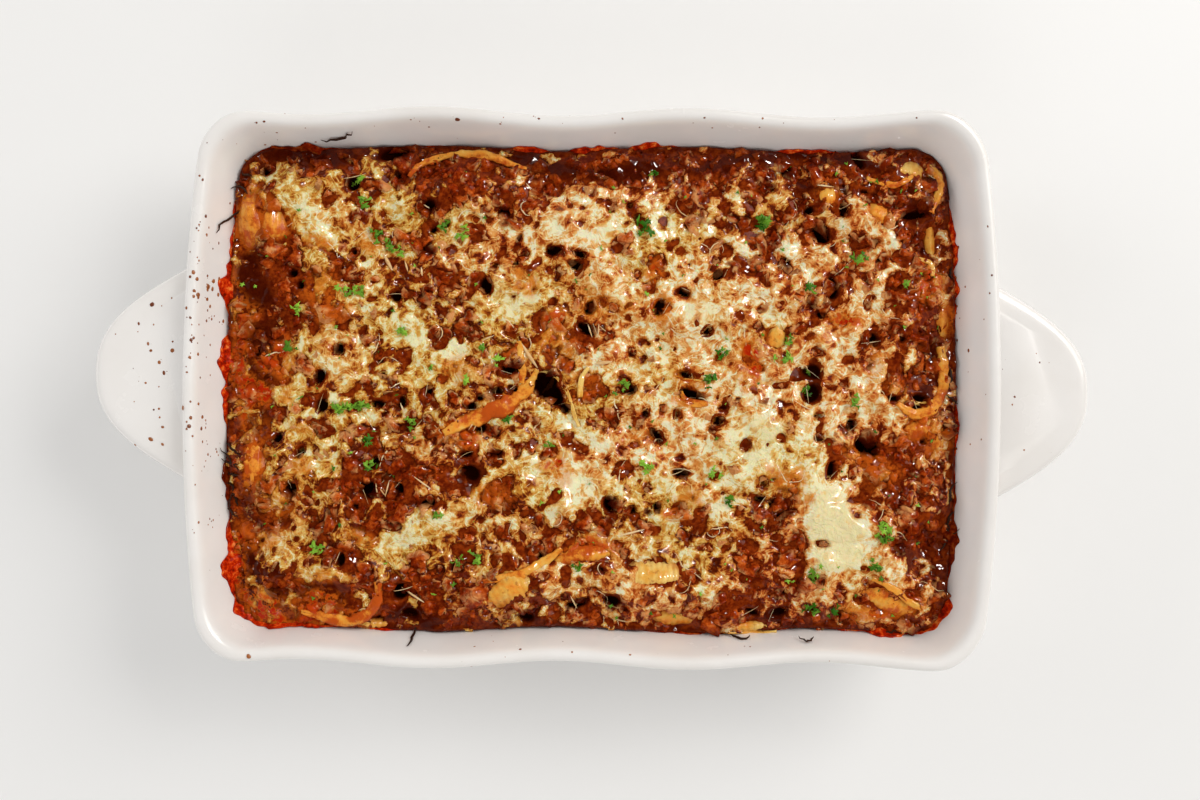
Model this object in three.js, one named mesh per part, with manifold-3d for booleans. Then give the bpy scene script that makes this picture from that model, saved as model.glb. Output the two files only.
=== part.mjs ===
// Dish of baked pasta shells: a glazed stoneware baker with a wavy rim and two tab handles, holding stuffed jumbo
// shells baked in meat sauce, with pools of melted cheese in the hollows between them.
// Millimetres, +Z up. The origin is the centre of the flat foot, X runs from handle to handle.

import * as THREE from "three";
import { LoftGeometry } from "three/addons/geometries/LoftGeometry.js";
import { mergeVertices } from "three/addons/utils/BufferGeometryUtils.js";
import Module from "manifold-3d";

const wasm = await Module();
wasm.setup();

// ---------------------------------------------------------------- driving dimensions

// Dish: the outline of the rim's outer edge before its bow and waves, and the wall under it
const RIM_HALF_X = 172.5;
const RIM_HALF_Y = 122.5;
const RIM_CORNER = 21;
const DISH_HEIGHT = 66;
const WALL = 6.5;
const FLOOR_Z = 7.5;

// The short sides bow out towards the handles, and the long sides run in shallow waves
const BOW = 8.5;
const WAVE_OUT = 1.7;
const WAVE_UP = 1.3;
const WAVE_LENGTH = 114;
const WAVE_CREST_X = 43;

// Handles: D-shaped tabs below the rim
const HANDLE_SPAN_X = 222;
const HANDLE_HALF_LENGTH = 56;
const HANDLE_TOP_Z = 57.5;
const HANDLE_THICKNESS = 10;
const HANDLE_EDGE = 3;
const HANDLE_CENTRES_Y = { left: 5.5, right: -0.5 };

// Jumbo shells: a boat of pasta with curled lips, stuffed to just under them
const SHELL_LENGTH = 56;
const SHELL_WIDTH = 37;
const SHELL_DEPTH = 34;
const LIP_WIDTH = 3;
const STUFFING_DROP = 3;

// Meat sauce: the level at the dish's wall, and how far it heaps towards the middle
const SAUCE_EDGE_Z = 42.5;
const SAUCE_HEAP = 6.5;
const SAUCE_GRID = 14;
const BURIED_PITCH_X = 60;
const BURIED_PITCH_Y = 44;
const BURIED_RISE = 3;

// Clearance between touching pieces
const GAP = 0.35;

// ---------------------------------------------------------------- solids from surfaces

// A closed surface as a solid, with its seams merged and the triangles that collapse at its poles dropped
function solidOf(geometry) {
  const bare = new THREE.BufferGeometry();
  bare.setAttribute("position", geometry.getAttribute("position"));
  bare.setIndex(geometry.getIndex());
  const merged = mergeVertices(bare, 1e-3);
  const corners = merged.getIndex().array;
  const kept = [];
  for (let i = 0; i < corners.length; i += 3) {
    const [a, b, c] = corners.slice(i, i + 3);
    if (a !== b && b !== c && c !== a) kept.push(a, b, c);
  }
  return new wasm.Manifold(
    new wasm.Mesh({
      numProp: 3,
      vertProperties: merged.getAttribute("position").array,
      triVerts: new Uint32Array(kept),
    }),
  );
}

// The surface of a solid as a geometry, ready for a mesh
function geometryOf(solid) {
  const mesh = solid.getMesh();
  const geometry = new THREE.BufferGeometry();
  geometry.setAttribute("position", new THREE.BufferAttribute(mesh.vertProperties, 3));
  geometry.setIndex(new THREE.BufferAttribute(mesh.triVerts, 1));
  geometry.computeVertexNormals();
  return geometry;
}

// The one body of a cut solid that matters, without the crumbs that a cut can leave beside it
function largestBody(solid) {
  const bodies = solid.decompose();
  return bodies.reduce((best, body) => (body.volume() > best.volume() ? body : best));
}

// A closed surface from rings of points, each anticlockwise as seen from the last one. Each end closes on its centre
function loft(rings) {
  const closing = (ring) => {
    const centre = ring.reduce((sum, p) => sum.add(p), new THREE.Vector3()).divideScalar(ring.length);
    return ring.map(() => centre);
  };
  return new LoftGeometry([closing(rings[0]), ...rings, closing(rings[rings.length - 1])]);
}

const smooth = (t) => t * t * (3 - 2 * t);

// Smooth random heights between -1 and 1 on a square lattice
function lumps(x, y, size, seed) {
  const hash = (i, j) => {
    const wave = Math.sin(i * 127.1 + j * 311.7 + seed * 74.7) * 43758.5453;
    return 2 * (wave - Math.floor(wave)) - 1;
  };
  const [i, j] = [Math.floor(x / size), Math.floor(y / size)];
  const [s, t] = [smooth(x / size - i), smooth(y / size - j)];
  const near = THREE.MathUtils.lerp(hash(i, j), hash(i + 1, j), s);
  const far = THREE.MathUtils.lerp(hash(i, j + 1), hash(i + 1, j + 1), s);
  return THREE.MathUtils.lerp(near, far, t);
}

// ---------------------------------------------------------------- baking dish

const LONG_SIDE_STEPS = 14;
const SHORT_SIDE_STEPS = 6;
const CORNER_STEPS = 3;

// How far the wall stands in from the rim's outer edge at each height: steep below, flaring to the rim
const FLARE = [
  { z: 0, inset: 19 },
  { z: 8, inset: 15.5 },
  { z: 44, inset: 7 },
  { z: 58, inset: 2 },
  { z: DISH_HEIGHT, inset: 0 },
];

function flareAt(z) {
  const upper = Math.max(1, FLARE.findIndex((level) => z <= level.z));
  const [low, high] = [FLARE[upper - 1], FLARE[upper]];
  return THREE.MathUtils.mapLinear(z, low.z, high.z, low.inset, high.inset);
}

// Points round a rounded rectangle, each with the direction that the wall faces there
function roundedRectangle(halfX, halfY, corner) {
  const points = [];
  const turns = [
    { cx: 1, cy: -1, start: -Math.PI / 2, side: SHORT_SIDE_STEPS },
    { cx: 1, cy: 1, start: 0, side: LONG_SIDE_STEPS },
    { cx: -1, cy: 1, start: Math.PI / 2, side: SHORT_SIDE_STEPS },
    { cx: -1, cy: -1, start: Math.PI, side: LONG_SIDE_STEPS },
  ];
  turns.forEach(({ cx, cy, start, side }, k) => {
    const centre = new THREE.Vector2(cx * (halfX - corner), cy * (halfY - corner));
    const arcPoint = (angle) =>
      new THREE.Vector2(Math.cos(angle), Math.sin(angle)).multiplyScalar(corner).add(centre);
    for (let i = 0; i < CORNER_STEPS; i++) {
      const angle = start + (i / CORNER_STEPS) * (Math.PI / 2);
      points.push({ at: arcPoint(angle), facing: new THREE.Vector2(Math.cos(angle), Math.sin(angle)) });
    }
    const end = start + Math.PI / 2;
    const facing = new THREE.Vector2(Math.cos(end), Math.sin(end));
    const next = turns[(k + 1) % turns.length];
    const from = arcPoint(end);
    const to = new THREE.Vector2(next.cx * (halfX - corner), next.cy * (halfY - corner)).addScaledVector(
      facing,
      corner,
    );
    for (let i = 0; i < side; i++) {
      points.push({ at: from.clone().lerp(to, i / side), facing });
    }
  });
  return points;
}

// One ring of the dish's wall. The bow and the waves grow from nothing at the foot to full size at the rim
function wallRing(z, inset) {
  const share = smooth(z / DISH_HEIGHT);
  const halfX = RIM_HALF_X - inset;
  const halfY = RIM_HALF_Y - inset;
  const corner = RIM_CORNER - 0.4 * inset;
  return roundedRectangle(halfX, halfY, corner).map(({ at, facing }) => {
    const bow = BOW * (1 - (at.y / halfY) ** 2) * facing.x;
    const wave = Math.cos((2 * Math.PI * (at.x - WAVE_CREST_X)) / WAVE_LENGTH) * Math.abs(facing.y);
    return new THREE.Vector3(
      at.x + share * bow,
      at.y + share * wave * WAVE_OUT * Math.sign(facing.y),
      z + share ** 3 * wave * WAVE_UP,
    );
  });
}

// The space inside the wall, from the floor up to a level, drawn in by a clearance
function cavityRings(topZ, clearance) {
  const inner = (z, extra) => wallRing(z, flareAt(z) + WALL + clearance + extra);
  return [
    inner(FLOOR_Z + clearance, 8),
    inner(FLOOR_Z + 3, 2.5),
    inner(FLOOR_Z + 9, 0),
    inner(44, 0),
    inner(topZ, 0),
  ];
}

function handleSolid(side) {
  const rootX = RIM_HALF_X - 4;
  const reach = HANDLE_SPAN_X - rootX;
  const steps = 14;
  // The D: full reach in the middle, drawn in to the wall at both ends in a soft shoulder
  const ringAt = (z, drawIn) => {
    const points = [];
    for (let i = 0; i <= steps; i++) {
      const t = -1 + (2 * i) / steps;
      const out = reach * (1 - Math.abs(t) ** 2.5) ** 1.3;
      points.push(
        new THREE.Vector3(
          rootX + Math.max(0, out - drawIn),
          t * (HANDLE_HALF_LENGTH - drawIn),
          z,
        ),
      );
    }
    const back = 5;
    points.push(new THREE.Vector3(rootX - back, HANDLE_HALF_LENGTH - drawIn, z));
    points.push(new THREE.Vector3(rootX - back, drawIn - HANDLE_HALF_LENGTH, z));
    return points;
  };
  const bottomZ = HANDLE_TOP_Z - HANDLE_THICKNESS;
  const tab = solidOf(
    loft([
      ringAt(bottomZ, HANDLE_EDGE * 1.6),
      ringAt(bottomZ + HANDLE_EDGE, HANDLE_EDGE * 0.3),
      ringAt(HANDLE_TOP_Z - HANDLE_EDGE, 0),
      ringAt(HANDLE_TOP_Z, HANDLE_EDGE),
    ]),
  );
  const turned = side === "left" ? tab.rotate([0, 0, 180]) : tab;
  return turned.translate([0, HANDLE_CENTRES_Y[side], 0]);
}

function bakingDishSolid() {
  const lipZ = DISH_HEIGHT - WALL / 2;
  const body = solidOf(
    loft([
      wallRing(0, flareAt(0)),
      wallRing(3, flareAt(3) - 0.5),
      ...[24, 44, 57].map((z) => wallRing(z, flareAt(z))),
      wallRing(lipZ, flareAt(lipZ) - 0.3),
      wallRing(DISH_HEIGHT - 0.6, 1.1),
      wallRing(DISH_HEIGHT, WALL * 0.45),
      wallRing(DISH_HEIGHT - 0.6, WALL - 0.9),
    ]),
  );
  const cavity = solidOf(loft([...cavityRings(lipZ, 0), wallRing(DISH_HEIGHT + 4, WALL - 1.5)]));
  return body.add(handleSolid("left")).add(handleSolid("right")).subtract(cavity);
}

// ---------------------------------------------------------------- stuffed shells

// Where each shell lies that shows through the topping: x, y of its middle, its turn from the X axis, how far its
// mouth leans towards -Y, in degrees, and its length against the full one
const SHELLS = [
  { x: -131, y: 83, turn: 22, lean: 12, size: 0.94 },
  { x: -57, y: 87, turn: 3, lean: 34, size: 1.04 },
  { x: 127, y: 86, turn: -10, lean: -8, size: 1 },
  { x: -26, y: 46, turn: 9, lean: 10, size: 1 },
  { x: 33, y: 39, turn: -12, lean: -14, size: 1 },
  { x: 90, y: 36, turn: 14, lean: 12, size: 0.96 },
  { x: 140, y: 37, turn: 88, lean: -24, size: 0.94 },
  { x: -44, y: -2, turn: 36, lean: 16, size: 1.02 },
  { x: 47, y: -4, turn: -5, lean: 8, size: 1 },
  { x: 130, y: -10, turn: -4, lean: 14, size: 1 },
  { x: -132, y: -36, turn: 8, lean: -12, size: 0.98 },
  { x: -15, y: -42, turn: -7, lean: -10, size: 1 },
  { x: 71, y: -45, turn: 10, lean: 12, size: 0.96 },
  { x: 129, y: -50, turn: -6, lean: -8, size: 0.98 },
  { x: -119, y: -84, turn: -7, lean: 26, size: 1.04 },
  { x: -30, y: -85, turn: 14, lean: -22, size: 1.04 },
  { x: 30, y: -87, turn: -4, lean: -24, size: 1 },
  { x: 83, y: -86, turn: 6, lean: 22, size: 0.86 },
  { x: 131, y: -87.6, turn: -10, lean: 14, size: 0.8 },
];
const SHELL_MIDDLE_Z = 34.5;

const SHELL_STATIONS = 7;
const BELLY_STEPS = 5;

// A ring across the shell at a share of its half length, from lip to lip round the belly and back over the mouth.
// The mouth's points stand at a height of their own, so that the same rings make the shell and what is cut for it
function shellRing(along, scale, mouthZ, lipWidth) {
  const girth = Math.sqrt(Math.max(0, 1 - along ** 2)) ** 0.8;
  const halfWidth = (SHELL_WIDTH / 2) * girth;
  const depth = SHELL_DEPTH * (0.35 + 0.65 * girth);
  const tip = SHELL_DEPTH * 0.12 * along ** 4;
  const lipZ = SHELL_DEPTH / 2 + 1.2 * Math.cos(along * 5);
  const mouthHalf = halfWidth * 0.66;
  const x = (along * SHELL_LENGTH) / 2;
  const ring = [];
  for (let i = 0; i <= BELLY_STEPS; i++) {
    const angle = THREE.MathUtils.mapLinear(i, 0, BELLY_STEPS, -0.78, 0.78) * Math.PI;
    const y = halfWidth * Math.sin(angle);
    const z = lipZ - depth / 2 - (depth / 2) * Math.cos(angle) * (Math.abs(angle) > 2 ? 1.4 : 1);
    ring.push(new THREE.Vector3(x, y, z + tip).multiplyScalar(scale));
  }
  for (const share of [1, 0, -1]) {
    const y = share * Math.max(0, mouthHalf - lipWidth);
    ring.push(new THREE.Vector3(x, y, 0).multiplyScalar(scale).setZ(mouthZ(along, lipZ)));
  }
  return ring;
}

function shellStations() {
  const stations = [];
  for (let i = 0; i < SHELL_STATIONS; i++) {
    stations.push(-Math.cos((Math.PI * (i + 0.5)) / SHELL_STATIONS) * 0.992);
  }
  return stations;
}

// The stuffing lies a little under the lips and heaps towards the middle
const stuffingZ = (along, lipZ) => lipZ - STUFFING_DROP * (0.55 + 0.45 * along ** 2);

function placedShell(rings, place) {
  const solid = solidOf(loft(rings));
  return solid
    .scale([place.size, 1, 1])
    .rotate([place.lean, 0, 0])
    .rotate([0, 0, place.turn])
    .translate([place.x, place.y, SHELL_MIDDLE_Z]);
}

function shellSolid(place) {
  return placedShell(
    shellStations().map((along) => shellRing(along, 1, stuffingZ, LIP_WIDTH)),
    place,
  );
}

// The room that a shell takes in the sauce: a little larger than the shell, and open above its mouth
function shellRoom(place) {
  const scale = 1 + (2.4 * GAP) / SHELL_DEPTH;
  const above = () => SHELL_DEPTH * 1.2;
  return placedShell(
    shellStations().map((along) => shellRing(along, scale, above, -1)),
    place,
  );
}

// ---------------------------------------------------------------- sauce and cheese

// The level of the sauce: heaped towards the middle, with the swellings of buried shells and the lumps of the mince
function sauceLevel(x, y) {
  const [shareX, shareY] = [x / RIM_HALF_X, y / RIM_HALF_Y];
  const heap = SAUCE_HEAP * (1 - shareX ** 6) * (1 - shareY ** 4);
  const rows = Math.cos((2 * Math.PI * (y + 2)) / BURIED_PITCH_Y);
  const columns = Math.cos((2 * Math.PI * (x - 6)) / BURIED_PITCH_X + 0.9 * Math.sin(y / 28));
  const buried = BURIED_RISE * (0.5 * rows + 0.5 * columns) * (1 - shareX ** 8);
  return SAUCE_EDGE_Z + heap + buried + 1.5 * lumps(x, y, 2 * SAUCE_GRID, 3) + lumps(x, y, SAUCE_GRID, 8);
}

function sauceSolid(rooms) {
  const [sizeX, sizeY] = [2 * (RIM_HALF_X + 2), 2 * (RIM_HALF_Y + 2)];
  const block = new THREE.BoxGeometry(
    sizeX,
    sizeY,
    2,
    Math.round(sizeX / SAUCE_GRID),
    Math.round(sizeY / SAUCE_GRID),
    1,
  );
  const position = block.getAttribute("position");
  for (let i = 0; i < position.count; i++) {
    const top = position.getZ(i) > 0;
    position.setZ(i, top ? sauceLevel(position.getX(i), position.getY(i)) : 0);
  }
  const filled = solidOf(block).intersect(solidOf(loft(cavityRings(DISH_HEIGHT - 5, GAP))));
  return largestBody(rooms.reduce((sauce, room) => sauce.subtract(room), filled));
}

// Pools of cheese that ran together in the hollows: x, y of the middle, half length, half width and turn
const CHEESE_POOLS = [
  { x: 101, y: -21, halfLength: 22, halfWidth: 15, turn: 20 },
  { x: 103, y: -66, halfLength: 24, halfWidth: 16, turn: -66 },
  { x: 6, y: 72, halfLength: 34, halfWidth: 14, turn: -8 },
  { x: -76, y: -52, halfLength: 26, halfWidth: 15, turn: 12 },
];
const POOL_HALF_DEPTH = 5;
const POOL_MIDDLE_Z = 49;

function poolSolid(pool, margin) {
  const blob = new THREE.SphereGeometry(1, 10, 6);
  const position = blob.getAttribute("position");
  for (let i = 0; i < position.count; i++) {
    const p = new THREE.Vector3().fromBufferAttribute(position, i);
    const ragged = 1 + 0.16 * Math.sin(3 * Math.atan2(p.z, p.x) + pool.x) * Math.hypot(p.x, p.z);
    position.setXYZ(
      i,
      p.x * (pool.halfLength * ragged + margin),
      -p.z * (pool.halfWidth * ragged + margin),
      p.y * (POOL_HALF_DEPTH + margin),
    );
  }
  return solidOf(blob).rotate([0, 0, pool.turn]).translate([pool.x, pool.y, POOL_MIDDLE_Z]);
}

// ---------------------------------------------------------------- the whole dish

const GLAZE = new THREE.MeshStandardMaterial({ color: 0xece6df, roughness: 0.28, metalness: 0 });
const PASTA = new THREE.MeshStandardMaterial({ color: 0xd8a552, roughness: 0.45, metalness: 0 });
const MEAT_SAUCE = new THREE.MeshStandardMaterial({ color: 0x7a2f16, roughness: 0.5, metalness: 0 });
const CHEESE = new THREE.MeshStandardMaterial({ color: 0xe9d9a4, roughness: 0.4, metalness: 0 });

const dish = new THREE.Group();

function addPiece(name, solid, material) {
  const mesh = new THREE.Mesh(geometryOf(solid), material);
  mesh.name = name;
  dish.add(mesh);
}

const rooms = SHELLS.map(shellRoom);
const pools = CHEESE_POOLS.map((pool) =>
  largestBody(rooms.reduce((cheese, room) => cheese.subtract(room), poolSolid(pool, 0))),
);
const poolRooms = CHEESE_POOLS.map((pool) => poolSolid(pool, GAP));

addPiece("baking_dish", bakingDishSolid(), GLAZE);
addPiece("meat_sauce", sauceSolid([...rooms, ...poolRooms]), MEAT_SAUCE);
SHELLS.forEach((place, i) => {
  addPiece(`pasta_shell_${String(i + 1).padStart(2, "0")}`, shellSolid(place), PASTA);
});
pools.forEach((pool, i) => addPiece(`cheese_pool_${i + 1}`, pool, CHEESE));

export default dish;
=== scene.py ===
# %% [markdown]
# # A dish of baked pasta shells
# The real thing is a cream stoneware baker with a wavy rim, filled with jumbo shells that were stuffed,
# laid in rows, covered with a coarse meat sauce and grated cheese, and baked until the cheese melted into
# nets and pools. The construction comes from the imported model. This lesson gives every part of it its
# finish, and swaps the plain solids of the food for the real things: crumbles, shreds, strands, ribbed
# pasta and herbs.

# %% Load the frame
import math

import bmesh
import bpy
import numpy as np
from mathutils import Matrix, Vector, noise
from mathutils.bvhtree import BVHTree


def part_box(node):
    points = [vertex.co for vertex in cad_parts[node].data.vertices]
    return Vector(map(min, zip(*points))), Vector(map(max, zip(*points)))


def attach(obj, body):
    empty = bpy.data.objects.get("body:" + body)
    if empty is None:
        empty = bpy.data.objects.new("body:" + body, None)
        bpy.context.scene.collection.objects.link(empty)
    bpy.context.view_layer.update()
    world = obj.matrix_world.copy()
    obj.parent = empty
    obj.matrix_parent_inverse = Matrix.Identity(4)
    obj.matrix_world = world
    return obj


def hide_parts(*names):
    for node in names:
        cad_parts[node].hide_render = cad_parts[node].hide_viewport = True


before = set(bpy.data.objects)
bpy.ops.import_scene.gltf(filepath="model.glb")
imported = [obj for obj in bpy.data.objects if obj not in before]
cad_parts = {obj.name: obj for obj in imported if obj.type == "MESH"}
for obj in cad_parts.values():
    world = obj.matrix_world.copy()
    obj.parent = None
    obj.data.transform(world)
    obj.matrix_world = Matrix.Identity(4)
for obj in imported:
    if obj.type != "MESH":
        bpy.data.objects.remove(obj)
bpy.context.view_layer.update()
MM = 0.001

# %% [markdown]
# ## Camera, light and floor
# The dish is seen from straight above, as food often is, on a white table in soft daylight that comes
# from the far right. A large area light stands for the window, and the pale world around it fills the
# shadows.

# %% Camera
DISH_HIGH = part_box("baking_dish")[1]
RIM_Z = DISH_HIGH.z - 1.3 * MM
LENS = 50
EYE = Vector((3.7 * MM, -13 * MM, RIM_Z + 733 * MM))
TARGET = Vector((3.7 * MM, -5.3 * MM, RIM_Z))
ROLL = math.radians(0.38)

camera_data = bpy.data.cameras.new("overhead_camera")
camera_data.lens = LENS
camera_data.sensor_width = 36
camera = bpy.data.objects.new("overhead_camera", camera_data)
bpy.context.scene.collection.objects.link(camera)
camera.location = EYE
facing = (TARGET - EYE).to_track_quat("-Z", "Y")
camera.rotation_euler = (facing.to_matrix() @ Matrix.Rotation(ROLL, 3, "Z")).to_euler()
bpy.context.scene.camera = camera
bpy.context.scene.view_settings.view_transform = "Standard"
print("camera", round((EYE - TARGET).length, 3), "m above the rim")


# %% Light
def area_light(name, place, aim, size, power, colour):
    """A square light at place that shines towards aim."""
    data = bpy.data.lights.new(name, "AREA")
    data.shape = "RECTANGLE"
    data.size, data.size_y = size
    data.energy = power
    data.color = colour
    light = bpy.data.objects.new(name, data)
    light.location = place
    light.rotation_euler = (Vector(aim) - Vector(place)).to_track_quat("-Z", "Y").to_euler()
    bpy.context.scene.collection.objects.link(light)
    return light


MIDDLE = (0, 0, 50 * MM)
soft = [
    area_light("window", (2.75, 1.6, 2.25), MIDDLE, (2.6, 2.6), 77, (1.0, 0.975, 0.94)),
    area_light("bounce", (-1.8, 0.6, 0.7), MIDDLE, (1.2, 1.2), 8, (0.97, 0.98, 1.0)),
    area_light("table_bounce", (-0.5, -2.0, 1.5), MIDDLE, (1.6, 1.6), 8, (0.98, 0.99, 1.0)),
]
for light in soft[1:]:
    light.visible_glossy = False
# A bright lamp that only wet things mirror, for the sharp white glints on melted cheese and hot fat.
glint = area_light("glint", (1.9, 1.9, 3.0), MIDDLE, (0.5, 0.5), 130, (1.0, 0.98, 0.95))
glint.visible_diffuse = False

world = bpy.data.worlds.new("pale_room")
world.use_nodes = True
world.node_tree.nodes["Background"].inputs["Color"].default_value = (1.0, 0.985, 0.965, 1)
world.node_tree.nodes["Background"].inputs["Strength"].default_value = 0.60
world.cycles_visibility.glossy = False
bpy.context.scene.world = world

# %% [markdown]
# ## Writing shader maths as maths
# A material's pattern is mostly arithmetic on noise and masks. `Wire` wraps one socket, so that `1 - mask
# * 0.5` adds the Math nodes by itself. `Paint` holds one material and adds any other node with a single
# method.


# %% Wire and Paint
class Wire:
    """One output socket of a material, with Python's arithmetic."""

    def __init__(self, paint, socket):
        self.paint = paint
        self.socket = socket

    def maths(self, operation, first, second, clamp=False):
        settings = {"operation": operation, "use_clamp": clamp}
        return self.paint.node("ShaderNodeMath", settings, {0: first, 1: second})

    def __add__(self, other):
        return self.maths("ADD", self, other)

    def __radd__(self, other):
        return self.maths("ADD", other, self)

    def __sub__(self, other):
        return self.maths("SUBTRACT", self, other)

    def __rsub__(self, other):
        return self.maths("SUBTRACT", other, self)

    def __mul__(self, other):
        return self.maths("MULTIPLY", self, other)

    def __rmul__(self, other):
        return self.maths("MULTIPLY", other, self)

    def limited(self):
        """The value held between 0 and 1."""
        return self.maths("ADD", self, 0, clamp=True)

    def between(self, low, high):
        """0 below low, 1 above high, and a smooth step from one to the other."""
        sockets = {"Value": self, "From Min": low, "From Max": high}
        return self.paint.node("ShaderNodeMapRange", {"interpolation_type": "SMOOTHSTEP"}, sockets)


SOCKETS = {
    "tone": "Base Color",
    "roughness": "Roughness",
    "normal": "Normal",
    "specular": "Specular IOR Level",
    "coat": "Coat Weight",
    "coat_roughness": "Coat Roughness",
    "subsurface": "Subsurface Weight",
    "subsurface_radius": "Subsurface Radius",
    "subsurface_scale": "Subsurface Scale",
}


class Paint:
    """A material and its nodes."""

    def __init__(self, name):
        self.material = bpy.data.materials.new(name)
        self.material.use_nodes = True
        self.tree = self.material.node_tree
        self.shader = self.tree.nodes["Principled BSDF"]
        self.place = self.node("ShaderNodeTexCoord", {}, {}, "Object")

    def node(self, kind, settings, sockets, output=0):
        """Adds a node, sets it up, and feeds its sockets with values or wires. Gives one output as a wire."""
        made = self.tree.nodes.new(kind)
        for name, value in settings.items():
            if name == "stops":
                while len(made.color_ramp.elements) < len(value):
                    made.color_ramp.elements.new(0.5)
                for element, (at, colour) in zip(made.color_ramp.elements, value):
                    element.position = at
                    element.color = (*colour, 1)
            else:
                setattr(made, name, value)
        for name, value in sockets.items():
            if isinstance(value, Wire):
                self.tree.links.new(value.socket, made.inputs[name])
            else:
                made.inputs[name].default_value = value
        return Wire(self, made.outputs[output])

    def noise(self, scale, detail=3, roughness=0.55, distortion=0.0):
        """Cloudy noise around 0.5. Scale is in lumps per metre."""
        sockets = {"Vector": self.place, "Scale": scale, "Detail": detail}
        sockets |= {"Roughness": roughness, "Distortion": distortion}
        return self.node("ShaderNodeTexNoise", {}, sockets, "Fac")

    def cells(self, scale):
        """Distance to the nearest centre of Voronoi cells."""
        return self.node("ShaderNodeTexVoronoi", {}, {"Vector": self.place, "Scale": scale}, "Distance")

    def painted(self, name):
        """A value stored on the mesh."""
        return self.node("ShaderNodeAttribute", {"attribute_name": name}, {}, "Fac")

    def mix(self, share, first, second):
        """From the first colour to the second, by a share from 0 to 1."""
        ends = {6: self.colour(first), 7: self.colour(second)}
        return self.node("ShaderNodeMix", {"data_type": "RGBA"}, {0: share, **ends}, 2)

    def colour(self, value):
        return value if isinstance(value, Wire) else (*value, 1)

    def warped(self, scale, amount):
        """The place on the piece, shaken by noise, so that a regular pattern turns wild."""
        shake = self.node("ShaderNodeTexNoise", {}, {"Vector": self.place, "Scale": scale}, "Color")
        sockets = {0: shake, 1: (amount,) * 3, 2: self.place}
        return self.node("ShaderNodeVectorMath", {"operation": "MULTIPLY_ADD"}, sockets)

    def borders(self, scale, where):
        """Distance to the edge between Voronoi cells."""
        sockets = {"Vector": where, "Scale": scale}
        return self.node("ShaderNodeTexVoronoi", {"feature": "DISTANCE_TO_EDGE"}, sockets, "Distance")

    def ramp(self, value, *stops):
        """Through several colours, each given with its place from 0 to 1."""
        return self.node("ShaderNodeValToRGB", {"stops": stops}, {"Fac": value}, "Color")

    def bump(self, height, distance, strength):
        """A normal from a height."""
        sockets = {"Height": height, "Distance": distance, "Strength": strength}
        return self.node("ShaderNodeBump", {}, sockets, "Normal")

    def finish(self, **looks):
        """Feeds the shader with values or wires, such as tone and roughness. Gives the material."""
        for name, value in looks.items():
            socket = self.shader.inputs[SOCKETS[name]]
            if isinstance(value, Wire):
                self.tree.links.new(value.socket, socket)
            else:
                socket.default_value = (*value, 1) if socket.type == "RGBA" else value
        return self.material


# %% Floor
def tabletop():
    """Matt white with the faintest unevenness."""
    paint = Paint("white_tabletop")
    cloud = paint.noise(2.5, 2)
    tone = paint.mix(cloud, (0.89, 0.89, 0.885), (0.915, 0.91, 0.90))
    return paint.finish(tone=tone, roughness=0.55)


bpy.ops.object.select_all(action="DESELECT")
bpy.ops.mesh.primitive_plane_add(size=6, location=(0, 0, 0))
floor = bpy.context.object
floor.name = "tabletop"
floor.data.materials.append(tabletop())
print("floor", tuple(round(side, 2) for side in floor.dimensions))

# %% [markdown]
# ## Tools for modelling
# Pieces are modelled with Blender's own operators, and these helpers keep the selection tidy around them.
# A ring of points is extruded from level to level, which is how the dish and its handles are drawn up
# like clay on a wheel.


# %% Selecting, reading and writing points
def select_only(obj):
    """Leaves obj alone selected and active."""
    bpy.ops.object.select_all(action="DESELECT")
    obj.select_set(True)
    bpy.context.view_layer.objects.active = obj


def select_points(obj, mask):
    """Selects some points of a mesh, and nothing else of it, for the next operator in edit mode."""
    select_only(obj)
    bpy.ops.object.mode_set(mode="EDIT")
    bpy.ops.mesh.select_mode(type="VERT")
    bpy.ops.mesh.select_all(action="DESELECT")
    bpy.ops.object.mode_set(mode="OBJECT")
    obj.data.vertices.foreach_set("select", mask)
    bpy.ops.object.mode_set(mode="EDIT")
    bpy.ops.mesh.select_mode(type="VERT")
    bpy.ops.object.mode_set(mode="OBJECT")


def points_of(obj):
    """The vertices of a mesh as rows of x, y, z."""
    flat = np.empty(len(obj.data.vertices) * 3)
    obj.data.vertices.foreach_get("co", flat)
    return flat.reshape(-1, 3)


def move_points(obj, points):
    obj.data.vertices.foreach_set("co", np.asarray(points, float).ravel())
    obj.data.update()


def apply_modifier(obj, kind, **settings):
    """Adds a modifier, sets it up and applies it."""
    select_only(obj)
    bpy.ops.object.modifier_add(type=kind)
    modifier = obj.modifiers[-1]
    for name, value in settings.items():
        setattr(modifier, name, value)
    bpy.ops.object.modifier_apply(modifier=modifier.name)


def smooth(obj):
    select_only(obj)
    bpy.ops.object.shade_smooth()


def thickened(obj, thickness, offset):
    """Turns a sheet into a solid that is smooth to the light. Offset -1 keeps its upper side where it is."""
    apply_modifier(obj, "SOLIDIFY", thickness=thickness, offset=offset)
    smooth(obj)


def closed(obj):
    """Fills the open ends of a skin and turns its faces outward."""
    select_only(obj)
    bpy.ops.object.mode_set(mode="EDIT")
    bpy.ops.mesh.select_all(action="SELECT")
    bpy.ops.mesh.fill_holes(sides=0)
    bpy.ops.mesh.select_all(action="SELECT")
    bpy.ops.mesh.normals_make_consistent(inside=False)
    bpy.ops.object.mode_set(mode="OBJECT")


def new_grid(name, across, along):
    """A flat grid from -1 to 1, the sheet that most pieces are bent from, and its points."""
    bpy.ops.object.select_all(action="DESELECT")
    bpy.ops.mesh.primitive_grid_add(x_subdivisions=across, y_subdivisions=along, size=2)
    obj = bpy.context.object
    obj.name = name
    return obj, points_of(obj)


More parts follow.
